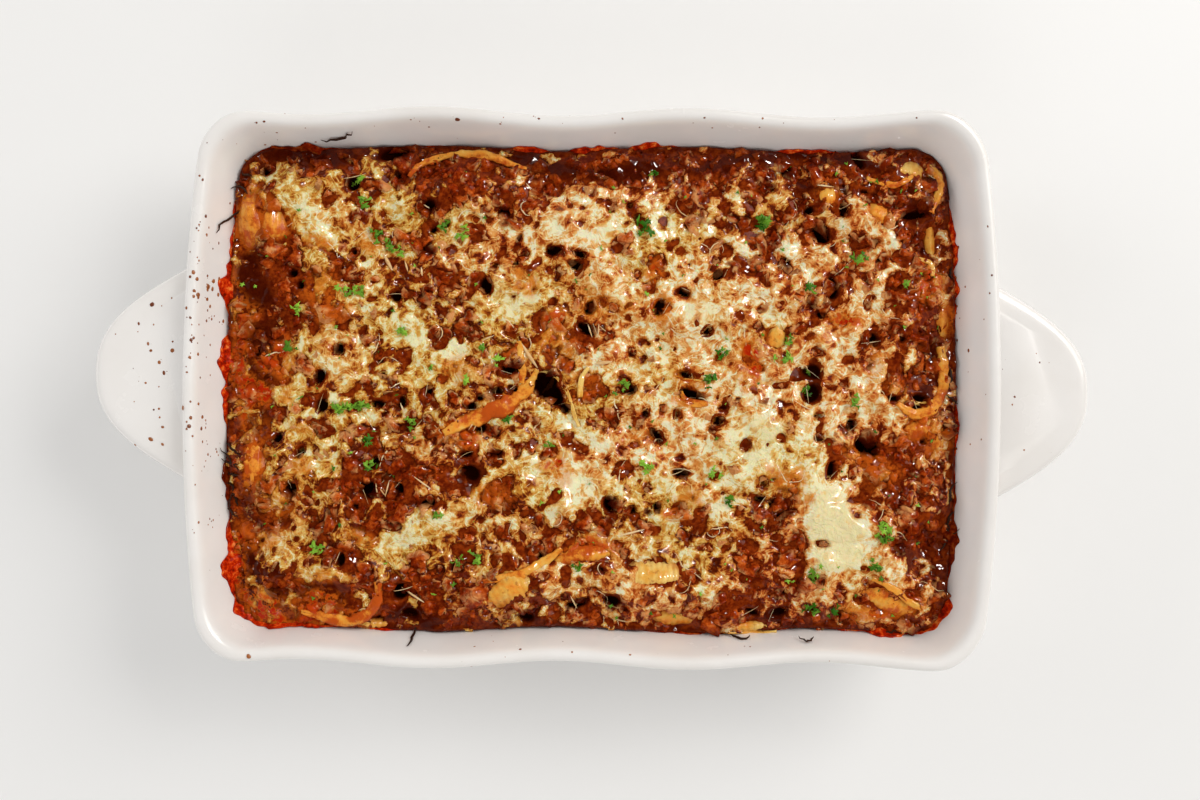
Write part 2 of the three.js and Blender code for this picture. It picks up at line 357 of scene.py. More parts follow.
def paint_points(obj, name, values):
    """Stores a number on each vertex for the material to read."""
    attribute = obj.data.attributes.new(name, "FLOAT", "POINT")
    attribute.data.foreach_set("value", np.asarray(values, np.float32))


def finish_piece(obj, material, slot, *nodes):
    """Gives a piece its material and hides the nodes that it stands for. Its slot is not used."""
    obj.data.materials.clear()
    obj.data.materials.append(material)
    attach(obj, "root")
    if nodes:
        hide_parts(*nodes)
    obj.data.calc_loop_triangles()
    print(f"{obj.name}: {len(obj.data.loop_triangles)} triangles")


# %% Extruding a ring from level to level
def extruded_rings(name, rings):
    """A skin through rings of equally many points, open at both ends."""
    bpy.ops.object.select_all(action="DESELECT")
    bpy.ops.mesh.primitive_circle_add(vertices=len(rings[0]), radius=1)
    obj = bpy.context.object
    obj.name = name
    bpy.ops.object.mode_set(mode="EDIT")
    bpy.ops.mesh.select_all(action="SELECT")
    edit = bmesh.from_edit_mesh(obj.data)
    around = edit.verts.layers.int.new("around")
    for index, vertex in enumerate(edit.verts):
        vertex[around] = index
    for level, ring in enumerate(rings):
        if level:
            bpy.ops.mesh.extrude_region_move()
        edit = bmesh.from_edit_mesh(obj.data)
        around = edit.verts.layers.int["around"]
        for vertex in edit.verts:
            if vertex.select:
                vertex.co = ring[vertex[around]]
        bmesh.update_edit_mesh(obj.data)
    bpy.ops.object.mode_set(mode="OBJECT")
    obj.data.attributes.remove(obj.data.attributes["around"])
    return obj


def rounded_and_closed(obj):
    """Subdivides a skin once and closes its ends with flat faces."""
    apply_modifier(obj, "SUBSURF", levels=1, render_levels=1)
    closed(obj)


# %% [markdown]
# ## The stoneware dish
# A baker like this is cast: a thick even wall with soft edges, short sides that bow outward, and long
# sides whose rim runs in shallow waves. Its outline is a rounded rectangle that takes on the bow and the
# waves as it rises, the same one that the construction uses, only with many more points and a rounder
# lip.

# %% Outline of the wall
RIM_HALF_X = 172.5 * MM
RIM_HALF_Y = DISH_HIGH.y - 1.2 * MM
RIM_CORNER = 21 * MM
WALL = 6.5 * MM
FLOOR_Z = 7.5 * MM
BOW = 8.5 * MM
WAVE_OUT = 1.7 * MM
WAVE_UP = 1.3 * MM
WAVE_LENGTH = 114 * MM
WAVE_CREST_X = 43 * MM
LONG_STEPS, SHORT_STEPS, CORNER_STEPS = 40, 24, 8


def flare(z):
    """How far the outside of the wall stands in from the rim at a height."""
    heights = np.array([0, 8, 44, 58, 66]) * MM
    insets = np.array([19, 15.5, 7, 2, 0]) * MM
    return np.interp(z, heights, insets)


def grown(z):
    """The share of the bow and the waves that a height has."""
    t = np.clip(z / RIM_Z, 0, 1)
    return t * t * (3 - 2 * t)


def wave_at(x):
    return np.cos(2 * np.pi * (x - WAVE_CREST_X) / WAVE_LENGTH)


def rounded_rectangle(half_x, half_y, corner):
    """Points round a rounded rectangle, anticlockwise, each with the way that it faces."""
    points, faces = [], []
    corners = [
        (1, -1, -90, SHORT_STEPS), (1, 1, 0, LONG_STEPS), (-1, 1, 90, SHORT_STEPS), (-1, -1, 180, LONG_STEPS),
    ]
    for k, (side_x, side_y, start, steps) in enumerate(corners):
        centre = np.array([side_x * (half_x - corner), side_y * (half_y - corner)])
        for i in range(CORNER_STEPS):
            angle = math.radians(start + 90 * i / CORNER_STEPS)
            way = np.array([math.cos(angle), math.sin(angle)])
            points.append(centre + corner * way)
            faces.append(way)
        angle = math.radians(start + 90)
        way = np.array([math.cos(angle), math.sin(angle)])
        next_x, next_y = corners[(k + 1) % 4][:2]
        end = np.array([next_x * (half_x - corner), next_y * (half_y - corner)])
        for i in range(steps):
            points.append(centre + (end - centre) * i / steps + corner * way)
            faces.append(way)
    return np.array(points), np.array(faces)


def wall_ring(z, inset):
    """One ring of the dish at a height, drawn in from the rim's outer edge."""
    half_x, half_y = RIM_HALF_X - inset, RIM_HALF_Y - inset
    at, way = rounded_rectangle(half_x, half_y, max(RIM_CORNER - 0.4 * inset, 5 * MM))
    bow = BOW * (1 - (at[:, 1] / half_y) ** 2) * way[:, 0]
    wave = wave_at(at[:, 0]) * np.abs(way[:, 1])
    share = grown(z)
    return np.column_stack([
        at[:, 0] + share * bow,
        at[:, 1] + share * wave * WAVE_OUT * np.sign(way[:, 1]),
        z + share**3 * wave * WAVE_UP,
    ])


# %% The dish, ring by ring
# Heights, and how far each ring stands in from the rim, in millimetres.
FOOT = [(0, 60), (0, 23)]
OUTSIDE = [(0, 19.6), (1.4, 17.9), (4, 16.9), (8, 15.5), (20, 12.7), (34, 9.4), (44, 7), (52, 4), (58, 2)]
LIP = [(61.6, 0.9), (63.6, 0.15), (65.2, 0.7), (66.0, 2.6), (65.6, 4.6), (64.2, 6.0), (61.6, 7.2)]
INSIDE = (58, 52, 44, 34, 24, 17)
# Where the wall turns into the floor: height above the floor, and how much further in than the wall.
TURN_IN = ((5, 1), (1.6, 4), (0, 9))


def dish_rings():
    """From the middle of the foot, up the outside, over the lip and down to the middle of the floor."""
    rings = [wall_ring(z * MM, inset * MM) for z, inset in FOOT + OUTSIDE + LIP]
    rings += [wall_ring(z * MM, flare(z * MM) + WALL) for z in INSIDE]
    rings += [wall_ring(FLOOR_Z + rise * MM, flare(FLOOR_Z) + WALL + more * MM) for rise, more in TURN_IN]
    return rings + [wall_ring(FLOOR_Z, FOOT[0][1] * MM)]


dish = extruded_rings("stoneware_dish", dish_rings())
rounded_and_closed(dish)
print("dish points:", len(dish.data.vertices))

# %% [markdown]
# ## The two handles
# Each is a flat D of clay, thick enough to lift a hot dish by, with soft edges and a root that swells
# into the wall. It is drawn as rings too, and joined to the wall with a Boolean, so that dish and handles
# are one skin.

# %% Handles
HANDLE_REACH = DISH_HIGH.x
HANDLE_ROOT = RIM_HALF_X - 4 * MM
HANDLE_HALF_LENGTH = 56 * MM
HANDLE_TOP = 57.5 * MM
HANDLE_THICK = 10 * MM
HANDLE_SHIFT = {"left": 5.5 * MM, "right": -0.5 * MM}
HANDLE_POINTS, ROOT_POINTS = 41, 21
ROOT_SWELL = 2.2 * MM


def inside_the_wall(y, z):
    """The middle of the short side's wall: a root that ends there shows neither outside nor inside."""
    return RIM_HALF_X - flare(z) - WALL / 2 + grown(z) * BOW * (1 - (y / RIM_HALF_Y) ** 2)


def handle_ring(z, draw_in):
    """A D with its straight side inside the wall."""
    share = np.linspace(-1, 1, HANDLE_POINTS)
    back = np.linspace(1, -1, ROOT_POINTS)
    out = (HANDLE_REACH - HANDLE_ROOT) * (1 - np.abs(share) ** 2.5) ** 1.3
    x = np.concatenate([HANDLE_ROOT + np.maximum(0, out - draw_in), np.zeros(ROOT_POINTS)])
    y = np.concatenate([share, back]) * (HANDLE_HALF_LENGTH - draw_in)
    return np.column_stack([np.maximum(x, inside_the_wall(y, z)), y, np.full(len(x), z)])


def handle(side):
    """Rings from the underside to the top, thicker towards the root, and turned round for the left side."""
    bottom = HANDLE_TOP - HANDLE_THICK
    levels = [(bottom, 9), (bottom, 4.4), (bottom + 1 * MM, 1.9), (bottom + 3 * MM, 0.3)]
    levels += [(HANDLE_TOP - 3 * MM, 0.2), (HANDLE_TOP - 0.9 * MM, 1.4), (HANDLE_TOP, 3.6), (HANDLE_TOP, 8)]
    obj = extruded_rings("handle_" + side, [handle_ring(z, draw_in * MM) for z, draw_in in levels])
    rounded_and_closed(obj)
    at = points_of(obj)
    middle = (bottom + HANDLE_TOP) / 2
    root = np.exp(-np.maximum(at[:, 0] - HANDLE_ROOT - 3 * MM, 0) / (3.5 * MM))
    at[:, 2] += np.sign(at[:, 2] - middle) * ROOT_SWELL * root
    if side == "left":
        at[:, :2] *= -1
    at[:, 1] += HANDLE_SHIFT[side]
    move_points(obj, at)
    return obj


for side in ("left", "right"):
    tab = handle(side)
    apply_modifier(dish, "BOOLEAN", operation="UNION", solver="MANIFOLD", object=tab)
    bpy.data.objects.remove(tab)
smooth(dish)
print("dish with handles:", tuple(round(side, 4) for side in dish.dimensions))

# %% [markdown]
# ## The glaze
# Cream glaze lies thick and glassy on the wall and breaks thinner and warmer over the lip. The foot stays
# bare biscuit clay where the dish stood in the kiln. Faint cloudiness in colour and gloss keeps it from
# looking plastic.


# %% Glaze
def cream_glaze():
    """Off-white and glassy, with a bare foot and a few iron specks."""
    paint = Paint("cream_glaze")
    cloud = paint.noise(28, 3)
    tone = paint.mix(cloud.between(0.3, 0.7), (0.865, 0.832, 0.797), (0.905, 0.88, 0.853))
    height = paint.node("ShaderNodeSeparateXYZ", {}, {"Vector": paint.place}, "Z")
    facing = paint.node("ShaderNodeNewGeometry", {}, {}, "Normal")
    down = 0 - paint.node("ShaderNodeSeparateXYZ", {}, {"Vector": facing}, "Z")
    foot = down.between(0.6, 0.9) * (1 - height.between(0.6 * MM, 1.6 * MM))
    grain = paint.noise(900, 2)
    biscuit = paint.mix(grain, (0.60, 0.50, 0.38), (0.70, 0.60, 0.48))
    pin = paint.cells(420)
    chosen = paint.noise(120, 1)
    specks = (1 - pin.between(0.05, 0.11)) * chosen.between(0.66, 0.7)
    tone = paint.mix(specks * 0.55, tone, (0.45, 0.38, 0.30))
    tone = paint.mix(foot, tone, biscuit)
    gloss = 0.22 + 0.06 * paint.noise(60, 4).between(0.35, 0.75)
    roughness = gloss * (1 - foot) + foot * 0.8
    ripple = paint.noise(70, 2)
    normal = paint.bump(ripple, 0.25 * MM, 0.6)
    return paint.finish(tone=tone, roughness=roughness, normal=normal, coat=0.35, coat_roughness=0.08)


finish_piece(dish, cream_glaze(), "glaze", "baking_dish")

# %% [markdown]
# ## A plan of the food
# Everything on top of the pasta lies on what is below it: crumbles on the sauce, cheese over the
# crumbles, threads over the cheese. So the food is first planned as maps with a value every half
# millimetre, such as the height of the sauce or the thickness of the cheese, and each piece then reads
# the maps where it stands.

# %% Maps
STEP = 0.5 * MM
HALF_COLUMNS, HALF_ROWS = 340, 240
MAP_X = np.arange(-HALF_COLUMNS, HALF_COLUMNS + 1) * STEP
MAP_Y = np.arange(-HALF_ROWS, HALF_ROWS + 1) * STEP
X, Y = np.meshgrid(MAP_X, MAP_Y)
HALVINGS = 22
rng = np.random.default_rng(11)
noise.seed_set(11)


def blurred(field, radius):
    """A map with its detail below a radius smoothed away."""
    down = np.fft.fftfreq(field.shape[0], STEP)[:, None]
    across = np.fft.rfftfreq(field.shape[1], STEP)[None, :]
    keep = np.exp(-2 * (np.pi * radius) ** 2 * (across**2 + down**2))
    return np.fft.irfft2(np.fft.rfft2(field) * keep, s=field.shape)


def cloud(size):
    """Smooth unevenness about 0, with lumps of a size."""
    field = blurred(rng.standard_normal(X.shape), size)
    return field / field.std()


def eased(value, low, high):
    """0 below low, 1 above high, smooth between."""
    t = np.clip((value - low) / (high - low), 0, 1)
    return t * t * (3 - 2 * t)


def look_up(field, x, y):
    """Reads a map between its points."""
    column = np.clip((x - MAP_X[0]) / STEP, 0, X.shape[1] - 1.001)
    row = np.clip((y - MAP_Y[0]) / STEP, 0, X.shape[0] - 1.001)
    i, j = row.astype(int), column.astype(int)
    a, b = row - i, column - j
    near = field[i, j] * (1 - b) + field[i, j + 1] * b
    return near * (1 - a) + (field[i + 1, j] * (1 - b) + field[i + 1, j + 1] * b) * a


def look_below(field, at):
    """Reads a map at rows of points."""
    return look_up(field, at[:, 0], at[:, 1])


def paint_maps(obj, **fields):
    """Stores what some maps say below each vertex, for the material to read."""
    at = points_of(obj)
    for name, field in fields.items():
        paint_points(obj, name, look_below(field, at))


def rugged(*columns):
    """Smooth noise about 0 at places given as columns of x, y and z. One number stands for a whole column."""
    return np.array([noise.noise(Vector(place)) for place in np.broadcast(*columns)])


WARP_X, WARP_Y = 2.2 * MM * cloud(5 * MM), 2.2 * MM * cloud(5 * MM)


def out_from(dx, dy, long, wide, turn):
    """How far out places are in a turned ellipse, 1 on its edge. Its half lengths are in millimetres."""
    angle = math.radians(turn)
    u = (dx * math.cos(angle) + dy * math.sin(angle)) / (long * MM)
    v = (dy * math.cos(angle) - dx * math.sin(angle)) / (wide * MM)
    return np.hypot(u, v)


def patches(rows):
    """Ragged blots on a map. A row: x, y, half length, half width in millimetres, strength, and any turn."""
    field = np.zeros(X.shape)
    for x, y, long, wide, strength, *turn in rows:
        out = out_from(X + WARP_X - x * MM, Y + WARP_Y - y * MM, long, wide, sum(turn))
        field = np.maximum(field, strength * (1 - eased(out, 0.6, 1.3)))
    return field


def wall_gap(x, y, z):
    """How far a place is from the inner wall at a height: positive inside the dish."""
    inset = flare(z) + WALL
    half_y = RIM_HALF_Y - inset + grown(z) * WAVE_OUT * wave_at(x)
    half_x = RIM_HALF_X - inset + grown(z) * BOW * (1 - np.minimum(np.abs(y) / half_y, 1) ** 2)
    corner = np.maximum(RIM_CORNER - 0.4 * inset, 5 * MM)
    over_x, over_y = np.abs(x) - half_x + corner, np.abs(y) - half_y + corner
    outside = np.hypot(np.maximum(over_x, 0), np.maximum(over_y, 0))
    return corner - outside - np.minimum(np.maximum(over_x, over_y), 0)


def within_wall(at, z, gap):
    """Moves places along their rays from the middle until they are at a gap from the wall. Low and high are
    shares of each ray, and the span between them is halved again and again."""
    low, high = np.full(len(at), 0.2), np.full(len(at), 1.6)
    for _ in range(HALVINGS):
        middle = (low + high) / 2
        inside = wall_gap(at[:, 0] * middle, at[:, 1] * middle, z) > gap
        low, high = np.where(inside, middle, low), np.where(inside, high, middle)
    return at * low[:, None]


print("maps of", X.shape, "values")

# %% The ground that the construction gives
food_names = [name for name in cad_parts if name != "baking_dish"]
corners, polygons = [], []
for name in food_names:
    node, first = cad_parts[name], len(corners)
    corners += [vertex.co.copy() for vertex in node.data.vertices]
    polygons += [[first + i for i in polygon.vertices] for polygon in node.data.polygons]
probe = BVHTree.FromPolygons(corners, polygons)
# The height at which the food meets the wall.
EDGE_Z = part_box("meat_sauce")[1].z - 10.6 * MM

PROBE_EVERY = 5
ABOVE_ALL, DOWN = 0.2, Vector((0, 0, -1))
probe_x, probe_y = MAP_X[::PROBE_EVERY], MAP_Y[::PROBE_EVERY]
levels = np.full((len(probe_y), len(probe_x)), EDGE_Z)
for i, y in enumerate(probe_y):
    for j, x in enumerate(probe_x):
        hit = probe.ray_cast(Vector((x, y, ABOVE_ALL)), DOWN)[0]
        if hit:
            levels[i, j] = max(hit.z, EDGE_Z)


def spread(field, cells, pick):
    """The highest or lowest value within some cells of each place."""
    shifts = range(-cells, cells + 1)
    near = [(i, j) for i in shifts for j in shifts if i * i + j * j <= cells * cells + 1]
    return pick([np.roll(field, shift, axis=(0, 1)) for shift in near], axis=0)


# First outward, to close the gaps between shells, then most of the way back.
levels = spread(spread(levels, 4, np.max), 3, np.min)
levels = np.where(wall_gap(*np.meshgrid(probe_x, probe_y), EDGE_Z) > 0, levels, EDGE_Z)
rows = np.array([np.interp(MAP_X, probe_x, row) for row in levels])
GROUND = np.array([np.interp(MAP_Y, probe_y, column) for column in rows.T]).T
GAP = wall_gap(X, Y, GROUND)
GROUND = blurred(GROUND, 3 * MM)
print("ground from", round(GROUND.min() / MM, 1), "to", round(GROUND.max() / MM, 1), "mm")

# %% [markdown]
# ## Where the cheese, the meat and the sauce are
# The cheese was grated on by hand and melted unevenly: some handfuls became pools, others a net that the
# meat pokes through. Along the walls the sauce boiled dark, and a band right at the wall is darker still,
# for baked crust and painted shade. Here and there oil and tomato stained things orange. These lists say
# where, in millimetres from the middle of the dish.

# %% Areas
THICK_CHEESE = [
    (14, 26, 34, 22, 0.3), (40, 10, 30, 20, 0.3), (48, 36, 42, 24, 0.55), (66, -8, 50, 42, 0.62),
    (-5, -40, 26, 16, 0.4), (0, 68, 40, 12, 0.35), (20, -84, 64, 18, 0.32), (128, -86, 26, 18, 0.38),
    (-128, -28, 24, 26, 0.3), (40, -30, 30, 26, 0.6), (-130, 82, 14, 10, 1, -20), (-120, 72, 12, 8, 0.95),
    (-118, 88, 10, 5, 0.7), (-135, 92, 10, 4, 0.6, -10), (-104, 62, 8, 16, 0.7, 10), (-90, 77, 10, 6, 0.6),
    (-92, 86, 8, 5, 0.6), (-85, 27, 10, 8, 1), (-125, 20, 10, 6, 0.8), (-122, 12, 5, 10, 0.95),
    (-117, 7, 8, 5, 0.9), (-138, -3, 8, 8, 0.6), (-112, 4, 10, 6, 0.6), (-128, -12, 6, 5, 0.8),
    (-133, -20, 10, 5, 0.7), (-98, -15, 4, 12, 0.95, 15), (-95, 10, 10, 4, 0.7), (-75, 3, 10, 3, 0.8, -25),
    (-66, 16, 10, 6, 0.95), (-65, -12, 4, 12, 0.7, -30), (-83, -5, 3, 10, 0.6, 10), (-60, 72, 9, 10, 0.6),
    (-47, 74, 7, 12, 0.75), (-52, 62, 10, 5, 0.6), (-15, 76, 7, 13, 1.05, -30), (-5, 70, 10, 6, 0.95),
    (10, 70, 14, 6, 1, -10), (8, 78, 14, 7, 0.7), (30, 70, 10, 10, 0.8), (30, 80, 8, 6, 0.6),
    (45, 66, 10, 6, 0.8), (62, 67, 10, 4, 1, -10), (20, 62, 18, 4, 0.9), (0, 56, 18, 6, 0.6),
    (5, 48, 14, 5, 0.75), (-15, 54, 5, 8, 0.7), (-40, 48, 6, 10, 1.1, 15), (-32, 36, 10, 6, 1.1),
    (-36, 56, 8, 4, 0.8), (-24, 45, 3, 8, 0.8), (48, 33, 11, 7, 1.15, -20), (58, 28, 8, 6, 0.85),
    (42, 22, 10, 5, 0.8), (68, 83, 8, 4, 0.6), (80, 45, 12, 5, 0.6, 25), (32, 10, 14, 6, 0.95),
    (25, 6, 10, 6, 0.9), (30, -3, 8, 8, 0.95), (5, 11, 8, 2, 1, 5), (45, -15, 14, 6, 0.65),
    (38, -22, 10, 8, 0.6), (62, -13, 8, 5, 0.6), (62, -24, 14, 8, 1.1), (76, -20, 12, 10, 1.25),
    (78, -32, 14, 8, 1.1), (62, -36, 8, 6, 0.95), (60, -44, 10, 7, 0.75), (68, -43, 6, 8, 0.85),
    (98, -26, 10, 7, 1.05), (95, -33, 8, 6, 0.95), (108, -24, 6, 4, 1.1), (100, -42, 8, 6, 1.1, -35),
    (108, -50, 14, 8, 1.3), (112, -60, 16, 12, 1.5), (110, -75, 16, 9, 1.35), (104, -66, 10, 14, 1.3),
    (118, -22, 8, 8, 0.6), (108, 16, 7, 5, 0.9), (103, 17, 4, 2.5, 1.2), (122, 5, 8, 7, 0.95, 20),
    (125, -6, 6, 8, 0.9), (108, -3, 8, 5, 0.5), (135, -12, 6, 6, 0.75), (143, 18, 5, 6, 0.85),
    (125, 47, 5, 12, 1, 5), (118, 36, 6, 6, 0.75), (132, 32, 8, 5, 0.7, 15), (120, 80, 9, 7, 0.85),
    (133, 67, 6, 6, 1), (114, 68, 5, 8, 0.75), (106, 56, 7, 5, 1.05), (94, 62, 8, 6, 0.85),
    (95, 50, 8, 5, 0.6), (-17, -18, 9, 7, 0.9, 20), (-12, -12, 6, 6, 0.75), (-22, -13, 5, 5, 0.8),
    (3, -23, 5, 5, 1.1, -40), (-3, -20, 3, 6, 0.8), (-10, -29, 3, 2, 1.2), (-3, -45, 14, 8, 1.05, -15),
    (-12, -52, 10, 6, 1.1, -20), (10, -44, 14, 6, 0.85), (-18, -46, 5, 7, 0.9), (22, -43, 6, 4, 0.85),
    (-30, -36, 8, 4, 0.7, 20), (-50, -27, 6, 8, 0.65, -40), (-28, -48, 3, 10, 0.6), (52, -54, 12, 6, 0.85),
    (62, -53, 6, 3, 1.05), (48, -84, 8, 5, 0.95), (45, -74, 10, 5, 0.75), (28, -62, 10, 5, 0.5),
    (-85, -66, 14, 7, 1.1, 20), (-95, -73, 12, 5, 0.85, 20), (-133, -67, 9, 9, 0.85),
    (-142, -73, 6, 6, 0.6), (-70, -60, 8, 5, 0.7), (-118, -84, 12, 5, 0.6), (-12, -82, 8, 5, 0.85),
    (60, -66, 6, 6, 0.6), (-55, -60, 8, 3, 0.6),
]
BARE_MEAT = [
    (-136, -84, 32, 26, 0.8), (146, -22, 14, 26, 0.5), (148, 20, 12, 30, 0.4), (-78, 88, 28, 18, 0.5),
    (-22, 92, 26, 12, 0.45), (150, 88, 14, 18, 0.35), (-130, 103, 28, 6, 1), (-70, 95, 14, 7, 1),
    (-20, 98, 26, 7, 1), (15, 99, 26, 7, 1), (60, 98, 24, 7, 0.9), (110, 101, 32, 6, 1),
    (-150, 20, 10, 40, 0.9), (-152, -60, 8, 50, 0.8), (-100, 66, 7, 7, 0.9), (-78, 62, 10, 7, 0.9),
    (-88, 50, 8, 5, 0.9), (-70, 45, 14, 8, 0.9), (-142, 36, 10, 7, 0.9), (-145, 27, 12, 5, 0.8),
    (-108, 25, 6, 8, 0.5), (-100, -3, 7, 6, 0.9), (-92, -12, 4, 5, 0.7), (-72, -5, 8, 7, 0.5),
    (-55, -23, 9, 5, 1), (-16, 20, 12, 11, 1), (-1, 2, 6, 7, 0.8), (18, 15, 10, 7, 0.4),
    (12, 35, 12, 7, 0.6), (20, -18, 8, 6, 0.6), (30, 52, 8, 5, 0.9, -10), (50, 52, 12, 6, 0.6),
    (52, 42, 8, 5, 0.7), (78, 55, 14, 6, 0.6), (95, 78, 10, 6, 0.6), (75, 27, 8, 5, 0.8), (73, 14, 6, 8, 1),
    (75, -3, 14, 6, 0.8), (86, -42, 6, 8, 1.1), (94, -47, 5, 4, 0.9), (84, -51, 5, 5, 0.9),
    (125, -36, 14, 6, 0.9, -15), (130, -20, 8, 4, 0.8, -25), (45, -47, 10, 5, 0.8), (35, -57, 8, 6, 0.9),
    (8, -56, 8, 6, 0.5), (-43, -46, 6, 7, 1), (-57, -43, 6, 5, 0.8), (-70, -40, 8, 6, 0.5),
    (-25, -53, 4, 5, 0.6), (-140, -50, 11, 8, 0.9), (-108, -52, 9, 8, 0.7), (-104, -69, 8, 5, 0.9),
    (-138, -89, 8, 8, 1), (-103, -82, 7, 4, 0.8), (-90, -52, 5, 10, 0.5), (148, -72, 11, 20, 1),
    (70, -76, 12, 8, 0.8), (80, -88, 18, 9, 0.8), (15, -93, 30, 8, 0.8), (-15, -100, 12, 6, 0.8),
    (58, -98, 8, 8, 0.9), (-70, -82, 12, 12, 0.8), (-62, -96, 14, 8, 0.8), (150, 8, 8, 8, 0.9),
    (135, 5, 8, 7, 0.8), (138, 45, 12, 8, 0.8), (147, 56, 6, 5, 0.8), (143, 70, 7, 7, 0.9),
    (138, 86, 8, 4, 0.9), (128, 28, 8, 4, 0.7), (105, 45, 6, 6, 0.8), (100, 32, 8, 6, 0.6),
    (130, -95, 22, 9, 0.8),
]
# Past 1 the stain is no longer orange oil but bright red tomato.
STAINED = [
    (-148, -98, 14, 6, 1.4, -30), (-120, -103, 22, 4, 1.5), (-157, -76, 5, 18, 1.4), (-158, 14, 4, 40, 1.3),
    (-155, 76, 7, 15, 1), (-145, 72, 7, 9, 1), (-127, 66, 8, 4, 1.1, -30), (-122, 42, 8, 10, 0.9),
    (-118, 32, 10, 5, 1), (-154, -4, 7, 10, 1.5), (-144, 14, 7, 6, 1.5), (-140, -2, 5, 5, 0.8),
    (-152, -32, 7, 14, 1), (-133, -20, 8, 4, 0.7), (-128, -38, 8, 4, 0.8), (-145, -66, 8, 6, 0.9),
    (-120, -86, 10, 4, 0.8), (-16, 28, 7, 6, 1.5), (-18, 18, 9, 8, 0.9), (-18, -34, 7, 4, 1.4),
    (-12, -40, 6, 4, 0.7), (0, -70, 14, 4, 1.4), (32, 34, 6, 8, 1, 30), (28, 54, 5, 3, 1.2),
    (72, 14, 6, 8, 1.4), (114, 31, 6, 4, 1.5), (104, 86, 6, 5, 0.8), (128, 79, 6, 5, 1, -30),
    (88, -36, 8, 4, 1, -15), (86, -42, 5, 6, 1.1), (94, -47, 5, 4, 1), (44, -6, 8, 3, 1),
    (45, 5, 8, 3, 0.6), (66, 7, 3, 5, 0.8), (-28, 46, 3, 8, 1, 10), (150, 45, 9, 5, 1.5, 20),
    (158, 32, 4, 8, 0.9), (157, -20, 5, 10, 0.9), (147, -15, 10, 4, 1.1, 10), (-3, 3, 6, 7, 0.7),
    (84, 23, 6, 5, 0.9), (105, 24, 6, 3, 0.8), (124, 12, 4, 8, 0.7, 15), (-38, 18, 5, 3, 0.9),
    (-60, 9, 8, 4, 0.8), (135, 3, 6, 4, 0.8), (-64, -19, 6, 3, 1.3), (-56, -23, 8, 4, 1.3),
    (130, -98, 20, 4, 1.1, 8), (-43, -46, 6, 7, 1), (125, -36, 14, 6, 1, -15), (-140, -50, 10, 7, 0.7),
    (-104, -69, 8, 5, 1), (-100, 66, 6, 6, 0.8), (-120, -98, 16, 5, 1.2), (-140, 8, 6, 6, 1),
    (45, -47, 8, 4, 0.8), (36, -56, 6, 4, 1.3, -30), (20, -20, 6, 4, 0.8), (5, 38, 14, 6, 0.5),
]
DARK_SAUCE = [
    (-142, -74, 12, 26, 0.35), (-130, 104, 28, 5, 1), (-96, 105, 8, 4, 1), (-20, 98, 24, 6, 1),
    (15, 99, 20, 6, 1), (65, 103, 30, 4, 0.9), (110, 104, 30, 3, 1), (60, 97, 4, 4, 0.9),
    (-153, 50, 7, 12, 1), (-150, 28, 7, 6, 0.8), (-152, 8, 6, 10, 0.9), (-152, -15, 6, 5, 0.6),
    (-152, -82, 5, 17, 1), (-143, -82, 8, 4, 0.9, -15), (-145, -97, 8, 6, 1), (-120, -94, 12, 6, 0.9),
    (-154, -50, 5, 9, 0.7), (-31, -102, 7, 4, 1), (10, -97, 6, 4, 0.9), (-80, -103, 14, 4, 1),
    (85, -100, 14, 4, 0.9), (145, 85, 6, 10, 0.9, 20), (150, 65, 4, 8, 0.6), (154, 22, 4, 10, 0.9, 20),
    (153, 0, 5, 6, 0.9), (97, 3, 4, 7, 0.8), (122, -26, 5, 5, 0.9), (137, -76, 4, 12, 0.7),
    (-50, -40, 9, 5, 0.9), (-118, -55, 5, 6, 0.7), (88, 18, 5, 4, 0.7), (85, 31, 6, 4, 0.6),
    (-107, 28, 4, 6, 0.7), (-75, 83, 5, 4, 0.9), (100, 90, 10, 3, 0.7), (130, -100, 18, 3, 0.6),
    (151, -75, 8, 20, 0.5),
]
